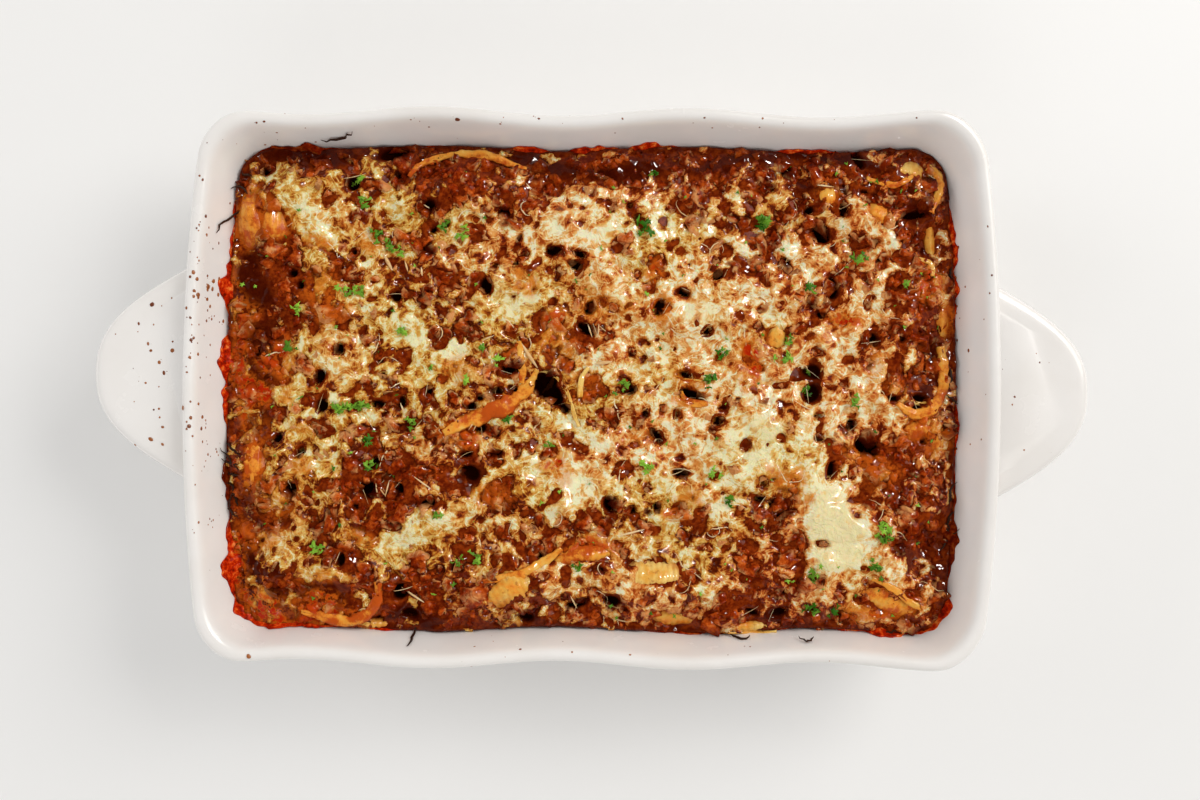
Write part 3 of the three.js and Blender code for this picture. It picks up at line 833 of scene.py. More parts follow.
HOLES = [
    (-21, 1, 6, 6.5), (-17, -2, 6, 5), (-11, -7, 3, 3), (-58, -13.5, 3, 2), (-54, -9.5, 2.6, 2.2),
    (-49.5, -7, 2, 2), (-44, -4.5, 2.8, 1.8), (-37, -2.6, 4, 1.4), (-49, -19, 3.4, 2),
    (-57, -29.5, 3.5, 1.6), (-37, 9, 4, 3.5), (-53, -38, 5, 3), (-42, -31, 3, 2.4), (15.5, -1, 3.4, 2.8),
    (29.5, -21, 2, 3), (10, -53, 4, 4), (20, -54, 2, 2), (26, -55, 1.6, 1.6), (30, -53, 2, 3),
    (47, -1.5, 6, 3), (44, 6.5, 4, 1.4), (63.5, -3, 1.6, 1.4), (41, -12, 1.2, 2.4), (55, -16, 1.6, 1.2),
    (59, -8, 2, 1), (101, -22, 2.4, 2.6), (100, -10.5, 2, 1), (116, -15, 3.4, 3), (98, 7, 4, 3),
    (97.5, -1, 3, 4), (125, -26, 5, 6), (77, -42, 2.4, 3), (83, -39, 1.2, 1), (85, -45, 2.4, 1.6),
    (76, -51, 3.4, 2), (81, -52, 2, 2), (85, -58, 3, 2.2), (90, -56, 1.5, 1.8), (107, -38, 2, 3),
    (38, -30, 2, 1.6), (38, -37, 3, 3), (31, 35, 3.2, 4.4), (0, 37, 2.4, 3.4), (40, 45, 3.2, 3),
    (58, 51, 3, 2.2), (-4, 62, 2.4, 2.4), (-15, 62, 3.4, 2.6), (-8, 56, 3, 3), (88, 97, 3, 2.2),
    (-1, 26, 4, 3.6), (5, 26, 1.6, 3), (15, 83, 2, 1), (20, 79, 2, 1.2), (88, 56, 3, 2),
    (-99.5, -46.5, 3.4, 4.4), (-93, -40.5, 3, 3), (-87, -46, 3.4, 3.8), (-93, -48, 2, 1.6),
    (-134.5, -47, 3, 3.6), (-71, -52, 2.8, 2.4), (-112, -78, 2, 3.4), (-131.5, -32, 2, 3),
    (-100, -34.5, 2, 2), (-104.5, -55, 1.2, 1.2), (-83, -92, 5, 4), (-87, -10, 2, 3.6), (-74, -1, 2, 2.6),
    (-117, 16, 3, 3), (-123, 3, 2, 3), (-95, -10, 3, 2), (-121, -8, 3, 4), (-76, 83, 4, 3.4),
    (-106.5, 93, 4, 3.4), (-91, 104, 7, 3), (-39, 80, 2.4, 2.4), (-27, 63, 1.6, 1.6), (-46.5, 54.5, 2.4, 2),
    (-48, 46.5, 3.4, 4), (-72.5, 71, 2, 1.8), (-31, 69.5, 1.8, 1.8), (-32.5, 56, 2, 1.6),
    (-136.5, 50, 2.4, 2), (-74, 64, 3, 2), (-88, 40, 3, 3), (125, 22, 3, 3.6), (128, 57, 2.4, 1.6),
    (125, 90, 5, 1.4), (120, 104, 3, 4), (101, 38, 1.2, 1.8), (146, -8, 5, 1.6), (145, 80, 7, 2),
    (151, 96, 3, 1.8), (134, -4, 3, 1.4), (108, 44, 3, 5), (103, 71, 4, 4), (97, 78, 2, 1.6),
    (-31, -102, 4, 2.6), (149, -3.5, 5, 2.4), (-7, -95, 5, 2.6), (10, -97, 4, 3), (72, -101, 4, 1.8),
    (85, -100, 5, 2), (-23, -73, 2, 2), (4, -81, 5, 1.2), (110, -90, 1.4, 1.2), (-96, -103, 3, 2),
    (-80, -103, 4, 2),
]
# Shells with their ribbed backs up: x, y, half length, half width, turn, height, and how orange they are.
BACKS = [
    (-37, -90, 13, 8, 28, 2.6, 0.3), (28, -82, 13.5, 6.5, 0, 2.6, 0.28), (38, -103, 10, 4, 0, 2.2, 0.35),
    (72, -107, 12, 3, 2, 1.6, 0.1), (-2, -74.5, 15, 4.5, 8, 2.6, 0.75), (143, 99.5, 8, 4, -10, 2.2, 0.15),
    (152.5, 67, 3, 9, 0, 1.4, 0.5), (158, 31, 3.4, 8, 0, 1.8, 0.7), (156, -21, 3.6, 7, 0, 1.8, 0.6),
    (83, 24, 5, 6.5, 0, 2.2, 0.45), (-155, 76, 6, 14, 5, 2.6, 0.8), (-144, 73, 6, 8, 0, 2.6, 0.9),
    (105, 86, 6, 5, 0, 2.2, 0.7), (128, 79, 6.5, 5, -25, 2.4, 0.8), (-152, -33, 6, 12, 0, 1.8, 0.85),
    (-98, -107, 8, 2.4, 0, 1.4, 0.4), (147, -17, 8, 4.5, 12, 2.4, 0.9), (134, -95, 15, 5.5, -24, 2.4, 0.85),
]

CHEESE_SHARE = patches(THICK_CHEESE)
MEAT_SHARE = patches(BARE_MEAT)
STAIN = patches(STAINED)
# The listed dark sauce, and a band along the wall darkened for baked crust and painted shade where the food
# meets the wall.
DARK = np.maximum(patches(DARK_SAUCE), 0.6 * (1 - eased(GAP, 0, 5 * MM)))
BARE = patches([(x, y, 0.74 * long, 0.74 * wide, 1, turn) for x, y, long, wide, turn, _, _ in BACKS])

PIN_HOLES = 30
DEEPEST = 1.9
hole_rows = [(*row, 0) for row in HOLES]
while len(hole_rows) < len(HOLES) + PIN_HOLES:
    x, y = rng.uniform(-155, 155), rng.uniform(-103, 103)
    if look_up(CHEESE_SHARE, np.array([x * MM]), np.array([y * MM]))[0] < 0.75:
        radius = rng.uniform(1.1, 2.1)
        hole_rows.append((x, y, radius * rng.uniform(1, 1.6), radius, rng.uniform(0, 180)))


def around(x, y, reach):
    """The part of a map round a place, as slices of rows and columns."""
    j, i = int((x - MAP_X[0]) / STEP), int((y - MAP_Y[0]) / STEP)
    return slice(max(0, i - reach), i + reach), slice(max(0, j - reach), j + reach)


def punched(rows):
    """Holes on a map, 0 outside and from 1 to 1.9 inside, each worked out only around itself."""
    field = np.zeros(X.shape)
    for x, y, long, wide, turn in rows:
        here = around(x * MM, y * MM, int(1.8 * max(long, wide) * MM / STEP) + 3)
        depth = min(DEEPEST, max(1, math.sqrt(long * wide) / 3))
        dx = X[here] + 0.6 * WARP_X[here] - x * MM
        dy = Y[here] + 0.6 * WARP_Y[here] - y * MM
        shape = 1 - eased(out_from(dx, dy, long, wide, turn), 0.58, 1.12)
        field[here] = np.maximum(field[here], depth * shape)
    return field


PIT = punched(hole_rows)
HOLE = np.minimum(PIT, 1)
print("holes:", len(hole_rows), "share of cheese", round(float(CHEESE_SHARE.mean()), 2))

# %% [markdown]
# ## The sauce that everything sits in
# The sauce is a thick ragu. Its body fills the dish up to just under the crumbles. A grid is drawn out to
# the walls, lifted to the ground of the plan, pitted where steam broke through, and closed down to the
# floor, so that it is a solid block as in the construction.

# %% Sauce
SAUCE_LIFT = 0.6 * MM
HOLE_DEPTH = 7 * MM
SAUCE = GROUND + SAUCE_LIFT + 0.5 * MM * cloud(1.6 * MM) + 0.5 * MM * cloud(4 * MM)
SAUCE += 0.9 * MM * blurred(DARK, 2 * MM) - HOLE_DEPTH * PIT * (1 - 0.3 * DARK) - 1 * MM * BARE
SAUCE = np.where(GAP < 4 * MM, SAUCE + 1.2 * MM * (1 - eased(GAP, 0, 4 * MM)), SAUCE)

# A rectangle about as large as the food. Its rays, drawn out to the wall, give the outline.
FOOD_HALF = np.array([158, 108]) * MM
SURFACE_GAP = -0.1 * MM
SIDE_LEVELS = (36, 26, 15, 9)
SAUCE_GRID = (316, 214)
TINY = 1e-6

sauce, spot = new_grid("ragu", *SAUCE_GRID)
ring = np.abs(spot[:, :2]).max(axis=1).clip(TINY)
flat = within_wall(spot[:, :2] / ring[:, None] * FOOD_HALF, EDGE_Z, SURFACE_GAP) * ring[:, None]
move_points(sauce, np.column_stack([flat, look_below(SAUCE, flat)]))
select_points(sauce, ring > 1 - 100 * TINY)
for z in SIDE_LEVELS:
    before = len(sauce.data.vertices)
    bpy.ops.object.mode_set(mode="EDIT")
    bpy.ops.mesh.extrude_region_move()
    bpy.ops.object.mode_set(mode="OBJECT")
    points = points_of(sauce)
    level = within_wall(points[before:, :2], z * MM, SURFACE_GAP)
    points[before:] = np.column_stack([level, np.full(len(level), z * MM)])
    move_points(sauce, points)
closed(sauce)
smooth(sauce)
# The dark value holds dark sauce, the darker band at the wall, and painted shade in the holes; hole depth
# drives more painted shade inside them.
paint_maps(sauce, stain=STAIN, dark=np.maximum(DARK, HOLE), pit=PIT)


def ragu():
    """Dark red-brown and wet, orange where oil and tomato collected, with painted shade in the holes."""
    paint = Paint("ragu")
    lumps = paint.noise(420, 4, 0.6)
    tone = paint.mix(lumps.between(0.35, 0.7), (0.12, 0.009, 0.001), (0.32, 0.045, 0.004))
    # Dark sauce, and painted shade in the holes.
    tone = paint.mix(paint.painted("dark") * 0.9, tone, (0.050, 0.0035, 0.0005))
    specks = 0.5 * paint.noise(180, 3) + 0.5 * paint.noise(520, 3, 0.6)
    stain = paint.painted("stain") * specks.between(0.40, 0.56)
    tone = paint.mix(stain.limited() * 0.9, tone, (0.62, 0.12, 0.008))
    tone = paint.mix(stain.between(0.9, 1.4), tone, (0.50, 0.022, 0.002))
    # Painted shade: the holes turn near black inside and lose their coat.
    inside = (paint.painted("pit") + 0.5 * (paint.noise(200, 3) - 0.5)).between(0.4, 1.0)
    tone = paint.mix(inside * 0.93, tone, (0.024, 0.0026, 0.0005))
    return paint.finish(
        tone=tone, roughness=0.3 + 0.3 * paint.noise(300, 2),
        normal=paint.bump(paint.noise(600, 4, 0.6), 0.7 * MM, 0.8), specular=0.0,
        coat=0.3 - 0.3 * inside, coat_roughness=0.08,
    )


finish_piece(sauce, ragu(), "meat_sauce", "meat_sauce")

# %% [markdown]
# ## The pasta shells
# A jumbo shell is a short ribbed tube slit along one side: a pointed boat with curled lips and ribs that
# run from lip to lip. One grid is bent into that shape, given ribs and a soft uneven sag, thickened with
# Solidify, and set where the construction has its shell. The turn and lean of each are listed; its place
# and length are measured.

# %% Pasta shells
SHELL_TURNS = [
    (22, 12), (3, 34), (-10, -8), (9, 10), (-12, -14), (14, 12), (88, -24), (36, 16), (-5, -8), (-4, 14),
    (8, -12), (-7, -10), (10, 12), (-6, -8), (-7, 26), (14, -22), (-4, -24), (6, 22), (-10, 14),
]
SHELL_LENGTH = 56 * MM
SHELL_THICK = 1.3 * MM
SHELL_GRID = (110, 22)
RIBS = 22
SETTLED = 0.84
LIP_ANGLE = math.radians(136)


def boat(u, v):
    """A shell's skin, length along x and lips up. u runs from tip to tip, v from lip to lip, both -1 to 1."""
    girth = (1 - u**2) ** 0.42
    half = 18.3 * MM * (0.12 + 0.88 * girth)
    drop = 33 * MM * (0.30 + 0.70 * girth)
    lip_z = (17 + 1.2 * np.cos(5 * u)) * MM + 3.6 * MM * u**4
    angle = v * LIP_ANGLE
    radius = drop / (1 - math.cos(LIP_ANGLE))
    rib = 0.2 * MM * np.cos(math.pi * RIBS * u) * (1 - 0.75 * np.abs(u) ** 6)
    curl = 1.6 * MM * eased(np.abs(v), 0.86, 1.0)
    y = (half + rib) * np.sin(angle) - np.sign(v) * curl
    z = lip_z - drop + radius - (radius + rib) * np.cos(angle) - 0.8 * curl
    return np.column_stack([u * SHELL_LENGTH / 2, y, z])


def pasta_shell(name, turn, lean):
    """Builds a shell, fits it to the construction's shell of that name and gives it its stains, and
    painted shade where it lies low or under a hole.
    """
    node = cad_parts[name]
    spin = Matrix.Rotation(math.radians(turn), 3, "Z") @ Matrix.Rotation(math.radians(lean), 3, "X")
    spin = np.array(spin)
    own = points_of(node) @ spin
    low, high = own.min(axis=0), own.max(axis=0)
    obj, grid = new_grid("baked_" + name, *SHELL_GRID)
    v = grid[:, 1]
    at = boat(grid[:, 0] * 0.992, v)
    at[:, 0] *= (high[0] - low[0]) / SHELL_LENGTH
    sag = np.array([noise.noise_vector(Vector(p) * 60 + Vector((turn, lean, 0))) for p in at])
    at += sag * [0.4 * MM, 1.6 * MM, 1.2 * MM]
    middle = (low + high) / 2
    middle[2] = high[2] - (at[:, 2].max() - at[:, 2].min()) / 2
    at += middle - (at.min(axis=0) + at.max(axis=0)) / 2
    at = at @ spin.T
    bottom = at[:, 2].min()
    at[:, 2] = bottom + (at[:, 2] - bottom) * SETTLED
    at[:, 2] -= HOLE_DEPTH * look_below(HOLE, at)
    move_points(obj, at)
    paint_points(obj, "lip", eased(np.abs(v), 0.55, 0.98))
    thickened(obj, SHELL_THICK, 0)
    placed = points_of(obj)
    # Painted shade: the lower a point lies, the darker, and so inside holes.
    deep = eased(-placed[:, 2], -50 * MM, -36 * MM)
    paint_maps(obj, stain=STAIN)
    paint_points(obj, "deep", np.maximum(deep, look_below(HOLE, placed)))
    return obj


def stained_pasta():
    """Pale yellow pasta, orange where sauce soaked its lips, painted shade low down and in holes."""
    paint = Paint("stained_pasta")
    cloud = paint.noise(90, 4)
    tone = paint.mix(cloud.between(0.35, 0.65), (0.62, 0.32, 0.04), (0.78, 0.50, 0.12))
    soak = 0.6 * paint.painted("lip") + 0.6 * paint.painted("stain")
    soak = soak + 2.4 * (paint.noise(90, 4, 0.6) - 0.5) + 0.15
    tone = paint.mix(soak.between(0.1, 0.8), tone, (0.58, 0.15, 0.012))
    scorch = paint.noise(160, 4, 0.7).between(0.52, 0.66)
    tone = paint.mix(scorch * 0.7, tone, (0.20, 0.028, 0.004))
    # Painted shade low down and in holes, where the coat is taken off too.
    tone = paint.mix(paint.painted("deep") * 0.9, tone, (0.045, 0.006, 0.001))
    return paint.finish(
        tone=tone, roughness=0.34, normal=paint.bump(paint.noise(700, 3), 0.2 * MM, 0.6), specular=0.0,
        coat=0.12 - 0.12 * paint.painted("deep"), coat_roughness=0.12,
    )


PASTA = stained_pasta()
for number, (turn, lean) in enumerate(SHELL_TURNS, 1):
    name = f"pasta_shell_{number:02d}"
    finish_piece(pasta_shell(name, turn, lean), PASTA, "pasta", name)

# %% [markdown]
# ## The mince
# Browned mince is a loose heap of crumbles, each a torn lump a few millimetres across. A couple of dozen
# lumps are pulled out of round, and thousands of turned and scaled copies are laid on the sauce, thickly
# where the plan says meat and thinly under the cheese. A heap of such solids catches light and shadow as
# no bump pattern could.


# %% Lumps and scattering
TRIANGLE_HEIGHT = 0.866
# A little more than the inside of the dish.
STREWN_HALF_X, STREWN_HALF_Y = 172 * MM, 120 * MM


def lumps(count, segments, rings, rough):
    """Torn lumps about 1 in radius, and the faces that they all share."""
    bpy.ops.object.select_all(action="DESELECT")
    bpy.ops.mesh.primitive_uv_sphere_add(segments=segments, ring_count=rings, radius=1)
    ball = bpy.context.object
    base = points_of(ball)
    ball.data.calc_loop_triangles()
    faces = np.array([triangle.vertices[:] for triangle in ball.data.loop_triangles])
    bpy.data.objects.remove(ball)
    forms = []
    for _ in range(count):
        shift = rng.uniform(-50, 50, 3)
        swell = 1 + rough * (1.2 * rugged(*(base * 1.3 + shift).T) + 0.8 * rugged(*(base * 3.7 - shift).T))
        forms.append(base * swell[:, None] * rng.uniform(0.72, 1.08, 3))
    return np.array(forms), faces


def any_turn(count):
    """Random rotations."""
    w, x, y, z = (q := rng.standard_normal((4, count))) / np.linalg.norm(q, axis=0)
    return np.array([
        [1 - 2 * (y * y + z * z), 2 * (x * y - z * w), 2 * (x * z + y * w)],
        [2 * (x * y + z * w), 1 - 2 * (x * x + z * z), 2 * (y * z - x * w)],
        [2 * (x * z - y * w), 2 * (y * z + x * w), 1 - 2 * (x * x + y * y)],
    ]).transpose(2, 0, 1)


def scattered(name, forms, faces, at, size, turns):
    """One mesh with a copy of some form at every place. Also gives the number of points in each copy."""
    kind = rng.integers(len(forms), size=len(at))
    points = np.einsum("nij,nvj->nvi", turns, forms[kind]) * size[:, None, None] + at[:, None, :]
    each = forms.shape[1]
    indices = faces[None] + (np.arange(len(at)) * each)[:, None, None]
    mesh = bpy.data.meshes.new(name)
    mesh.from_pydata(points.reshape(-1, 3), [], indices.reshape(-1, faces.shape[1]).tolist())
    obj = bpy.data.objects.new(name, mesh)
    bpy.context.scene.collection.objects.link(obj)
    smooth(obj)
    return obj, each


def jittered(spacing, jitter, gap):
    """Places on an uneven triangular grid inside the wall."""
    x = np.arange(-STREWN_HALF_X, STREWN_HALF_X, spacing)
    y = np.arange(-STREWN_HALF_Y, STREWN_HALF_Y, spacing * TRIANGLE_HEIGHT)
    gx, gy = np.meshgrid(x, y)
    gx = gx + spacing / 2 * (np.arange(len(y)) % 2)[:, None]
    gx = gx.ravel() + rng.uniform(-jitter, jitter, gx.size) * spacing
    gy = gy.ravel() + rng.uniform(-jitter, jitter, gy.size) * spacing
    inside = wall_gap(gx, gy, np.full(gx.shape, EDGE_Z)) > gap
    return gx[inside], gy[inside]


def chosen(x, y, weights, count):
    """Some of the places, the heavier ones more often."""
    size = min(count, int((weights > 0).sum()))
    pick = rng.choice(len(x), size=size, replace=False, p=weights / weights.sum())
    return x[pick], y[pick]


# %% Where the crumbles lie
CRUMBLES = 2350
GRAINS = 700


def crumble_places(spacing, gap, count, low, high, mean, rise):
    """Places and sizes of crumbles. Rise is how far each stands above the sauce, as a share of its radius."""
    x, y = jittered(spacing, 0.42, gap)
    meat, cheese = look_up(MEAT_SHARE, x, y), look_up(CHEESE_SHARE, x, y)
    clear = 1 - np.maximum(look_up(HOLE, x, y), look_up(BARE, x, y))
    weights = (0.62 + 0.5 * meat - 0.33 * np.minimum(cheese, 1.6)).clip(0.02) * eased(clear, 0.5, 0.9)
    weights *= 1 - 0.75 * look_up(DARK, x, y)
    x, y = chosen(x, y, weights, count)
    radius = np.clip(rng.lognormal(math.log(mean), 0.3, len(x)), low, high)
    z = look_up(SAUCE, x, y) + (rise - 0.35 * look_up(DARK, x, y)) * radius
    return np.column_stack([x, y, z]), radius


crumble_at, crumble_size = crumble_places(
    spacing=4.5 * MM, gap=1.8 * MM, count=CRUMBLES, low=1.6 * MM, high=6 * MM, mean=3.3 * MM, rise=-0.45
)
TOP = SAUCE.copy()
for (x, y, z), radius in zip(crumble_at, crumble_size):
    here = around(x, y, int(radius / STEP) + 3)
    away = (X[here] - x) ** 2 + (Y[here] - y) ** 2
    cap = z + 0.85 * np.sqrt(np.maximum(radius**2 - away, 0))
    TOP[here] = np.where(away < radius**2, np.maximum(TOP[here], cap), TOP[here])
print(len(crumble_at), "crumbles, top from", round(TOP.min() / MM, 1), "to", round(TOP.max() / MM, 1), "mm")

# %% [markdown]
# ## The melted cheese
# Grated shreds fell at random, and where enough of them lay together they melted into a skin. So shreds
# are strewn over the map and counted, and the count becomes thickness: single shreds stay threads, crowds
# become a net, the listed handfuls become pools. The skin hangs over the crumbles, which poke through
# where it is thin. It is a grid with the unseen parts deleted, thickened with Solidify.

# %% How thick the cheese is
SHREDS = 4650
SHRED_POINTS = 40


def strewn_shreds(count):
    """Lines of places along curled shreds: rows of x and y."""
    x, y = jittered(2.5 * MM, 0.5, 1 * MM)
    meat, cheese = look_up(MEAT_SHARE, x, y), look_up(CHEESE_SHARE, x, y)
    middle = 1 - eased(np.hypot(x / 150, y / 100) / MM, 0.55, 1.0)
    weights = (0.30 + 0.12 * middle + cheese - 0.25 * meat).clip(0.02) * (1 - look_up(BARE, x, y)).clip(0)
    x, y = chosen(x, y, weights, count)
    along = np.linspace(-0.5, 0.5, SHRED_POINTS)[None, :]
    length = rng.uniform(7, 22, (count, 1)) * MM
    heading = rng.uniform(0, 2 * math.pi, (count, 1)) + rng.normal(0, 1.1, (count, 1)) * along * 2
    dx = np.cumsum(np.cos(heading), axis=1) / SHRED_POINTS * length
    dy = np.cumsum(np.sin(heading), axis=1) / SHRED_POINTS * length
    middle = slice(SHRED_POINTS // 2, SHRED_POINTS // 2 + 1)
    return x[:, None] + dx - dx[:, middle], y[:, None] + dy - dy[:, middle]


shred_x, shred_y = strewn_shreds(SHREDS)
bins = [np.append(centres, centres[-1] + STEP) - STEP / 2 for centres in (MAP_Y, MAP_X)]
counted = np.histogram2d(shred_y.ravel(), shred_x.ravel(), bins=bins)[0]
CROWD = blurred(counted, 0.75 * MM) * 1.6
OPEN = (1 - HOLE) * (1 - BARE)
TORN = eased(cloud(2.6 * MM) - 0.5 * CHEESE_SHARE, 1.0, 1.7)
LUMPY = 0.34 * cloud(2.2 * MM) + 0.32 * cloud(1.1 * MM)
LIKELY = 0.58 * CHEESE_SHARE - 0.2 * MEAT_SHARE - 0.3 * eased(MEAT_SHARE, 0.85, 1.2)
NET = eased(CROWD + LUMPY + LIKELY, 0.2, 0.95) * OPEN * (1 - TORN)
POOL = eased(CHEESE_SHARE + 0.12 * cloud(3 * MM), 0.55, 1.25) * OPEN
FILM = (0.5 * NET + 0.5 * POOL + 1.2 * eased(CHEESE_SHARE, 1.15, 1.5) * OPEN) * MM
SAGGING = blurred(TOP, 1.0 * MM) * (1 - POOL) + blurred(TOP, 2.2 * MM) * POOL + FILM
CHEESE = np.maximum(SAGGING, blurred(TOP, 0.9 * MM) + 0.45 * MM) - 2.8 * MM * (1 - NET) ** 1.5
CHEESE += (0.14 * MM * cloud(0.7 * MM) + 0.12 * MM * cloud(1.6 * MM)) * eased(NET, 0.2, 0.8)
THICK = blurred(CHEESE - TOP, 0.7 * MM)
print("cheese covers", round(float((CHEESE > TOP)[GAP > 0].mean()), 2), "of the food")

# %% The skin of cheese
SKIN_THICK = 0.9 * MM
CHEESE_GRID = (316, 216)
CHEESE_HALF = np.array([168, 114, 0]) * MM
cheese, spot = new_grid("melted_cheese", *CHEESE_GRID)
at = spot * CHEESE_HALF
at[:, 2] = look_below(CHEESE, at)
move_points(cheese, at)
showing = blurred(((CHEESE > TOP - 0.5 * MM) & (NET > 0.12)).astype(float), 0.7 * MM)
select_points(cheese, (look_below(showing, at) < 0.10) | (wall_gap(*at.T) < 0.6 * MM))
bpy.ops.object.mode_set(mode="EDIT")
bpy.ops.mesh.delete(type="VERT")
bpy.ops.object.mode_set(mode="OBJECT")
thickened(cheese, SKIN_THICK, -1)
# Whey leans the colour to olive on the left, and meat close below to pink on the right.
olive = 0.45 - 1.1 * X / (340 * MM) + 0.22 * cloud(9 * MM)
melted = eased(CHEESE_SHARE, 0.95, 1.4)
paint_maps(cheese, thick=THICK / MM, stain=STAIN, pool=melted, crowd=CROWD, olive=olive)


def fibres(paint, scale, width):
    """A web of fine crossing threads: the places where cloudy noise passes through its middle."""
    away = paint.noise(scale, 2, 0.5, 1.2) - 0.5
    return 1 - away.maths("ABSOLUTE", away, 0).between(width * 0.2, width)


def melted_cheese():
    """A cream net round the crumbles below, which show through it brown where it is thin."""
    paint = Paint("melted_cheese")
    fine = paint.noise(600, 3, 0.5)
    broad = paint.noise(70, 3, 0.5)
    wild = paint.warped(170, 6 * MM)
    gaps = 1 - paint.borders(190, wild).between(0.03, 0.34)
    web = 0.7 * fibres(paint, 130, 0.08) + 0.5 * fibres(paint, 270, 0.09)
    body = paint.painted("thick") * 0.42 + paint.painted("crowd") * 0.2 + 0.22 * gaps + 0.46 * web
    body = body + 0.7 * (broad - 0.5) + 0.26 * (paint.noise(260, 2, 0.4) - 0.5) + 0.1 * (fine - 0.5)
    body = (body - 0.31).limited()
    pink = paint.ramp(
        body,
        (0.0, (0.16, 0.012, 0.001)),
        (0.22, (0.46, 0.075, 0.006)),
        (0.42, (0.71, 0.235, 0.042)),
        (0.7, (0.89, 0.51, 0.17)),
        (1.0, (0.98, 0.86, 0.58)),
    )
    olive = paint.ramp(
        body,
        (0.0, (0.11, 0.011, 0.001)),
        (0.22, (0.37, 0.078, 0.004)),
        (0.42, (0.63, 0.27, 0.030)),
        (0.7, (0.82, 0.53, 0.14)),
        (1.0, (0.94, 0.84, 0.51)),
    )
    tone = paint.mix(paint.painted("olive").between(0.1, 0.9), pink, olive)
    tone = paint.mix(paint.painted("pool") * (0.3 + 0.6 * fine), tone, (0.84, 0.68, 0.31))
    oil = paint.painted("stain") * paint.noise(220, 3).between(0.3, 0.55)
    tone = paint.mix(oil.limited() * 0.8, tone, (0.72, 0.22, 0.016))
    tone = paint.mix(oil.between(0.9, 1.4) * 0.7, tone, (0.56, 0.040, 0.003))
    relief = 0.6 * paint.noise(800, 4, 0.6) + 0.4 * web - 0.4 * gaps
    return paint.finish(
        tone=tone, roughness=0.4, normal=paint.bump(relief, 0.7 * MM, 0.9), subsurface=0.35,
        subsurface_radius=(1.0, 0.45, 0.2), subsurface_scale=1.6 * MM, specular=0.03, coat=0.42,
        coat_roughness=0.18,
    )


POOLS = ("cheese_pool_1", "cheese_pool_2", "cheese_pool_3", "cheese_pool_4")
finish_piece(cheese, melted_cheese(), "cheese", *POOLS)

# %% [markdown]
# ## Laying the crumbles
# The crumbles come after the cheese, because each is painted with what the cheese left on it: a veil on
# its flanks, none on its top, and oil or dark sauce where it sits in them. Its low flanks between lumps
# and in holes get painted shade.


# %% Crumbles and grains
def paint_meat(obj, each, count):
    """Gives every point of the mince its veil of cheese, its own tone and the stains of its place."""
    at = points_of(obj)
    net = look_below(NET, at)
    over = at[:, 2] - look_below(CHEESE, at)
    veil = eased(0.55 * look_below(CROWD, at) + 0.75 * net, 0.1, 1.0)
    paint_points(obj, "veil", veil * (1 - 0.65 * eased(over, 0.1 * MM, 2.6 * MM)))
    paint_points(obj, "tone", np.repeat(rng.uniform(0, 1, count), each))
    paint_maps(obj, stain=STAIN)
    # Painted shade: points below the smoothed top of the heap, in the crevices between lumps, are darkened,
    # less so under the cheese net.
    low = eased(look_below(blurred(TOP, 2 * MM), at) - at[:, 2], 0.2 * MM, 2.7 * MM)
    low *= 1 - 0.55 * eased(net, 0.3, 0.8)
    # The dark value: painted shade in crevices and holes, and the dark sauce the crumble sits in.
    dark = np.maximum(low, 0.75 * look_below(DARK, at))
    paint_points(obj, "dark", np.maximum(dark, eased(look_below(HOLE, at), 0.2, 0.7)))


def browned_mince():
    """Red-brown, wet and glossy, and a beige film where cheese ran over it."""
    paint = Paint("browned_mince")
    grain = paint.noise(600, 4, 0.65)
    value = 0.14 * paint.painted("tone") + 1.3 * (grain - 0.5) + 1.5 * (paint.noise(110, 2) - 0.5) + 0.36
    tone = paint.ramp(
        value.limited(),
        (0.0, (0.040, 0.0015, 0.0002)),
        (0.4, (0.27, 0.023, 0.0015)),
        (0.75, (0.60, 0.100, 0.010)),
        (1.0, (0.82, 0.27, 0.065)),
    )
    tone = paint.mix(paint.painted("stain").limited() * 0.6, tone, (0.66, 0.13, 0.009))
    tone = paint.mix(paint.painted("stain").between(1.0, 1.5) * 0.6, tone, (0.56, 0.030, 0.003))
    film = (paint.painted("veil") + 1.0 * (paint.noise(300, 3, 0.5) - 0.5)).between(0.2, 1.0)
    tone = paint.mix(film * 0.7, tone, (0.80, 0.36, 0.115))
    strands = fibres(paint, 190, 0.07) * paint.painted("veil").between(0.1, 0.6)
    tone = paint.mix(strands * 0.35, tone, (0.86, 0.50, 0.20))
    # Painted shade in crevices and holes, and dark sauce.
    tone = paint.mix(paint.painted("dark") * 0.9, tone, (0.034, 0.0026, 0.0004))
    return paint.finish(
        tone=tone, roughness=0.4, normal=paint.bump(paint.noise(430, 4, 0.55), 0.7 * MM, 0.7),
        specular=0.0, coat=0.26, coat_roughness=0.08,
    )


MINCE = browned_mince()
forms, faces = lumps(count=24, segments=8, rings=6, rough=0.75)
turns = any_turn(len(crumble_at))
crumble_at[:, 2] -= 1.6 * MM * eased(look_below(NET, crumble_at), 0.45, 0.9)
crumbles, each = scattered("mince_crumbles", forms, faces, crumble_at, crumble_size, turns)
paint_meat(crumbles, each, len(crumble_at))
finish_piece(crumbles, MINCE, "meat_sauce")

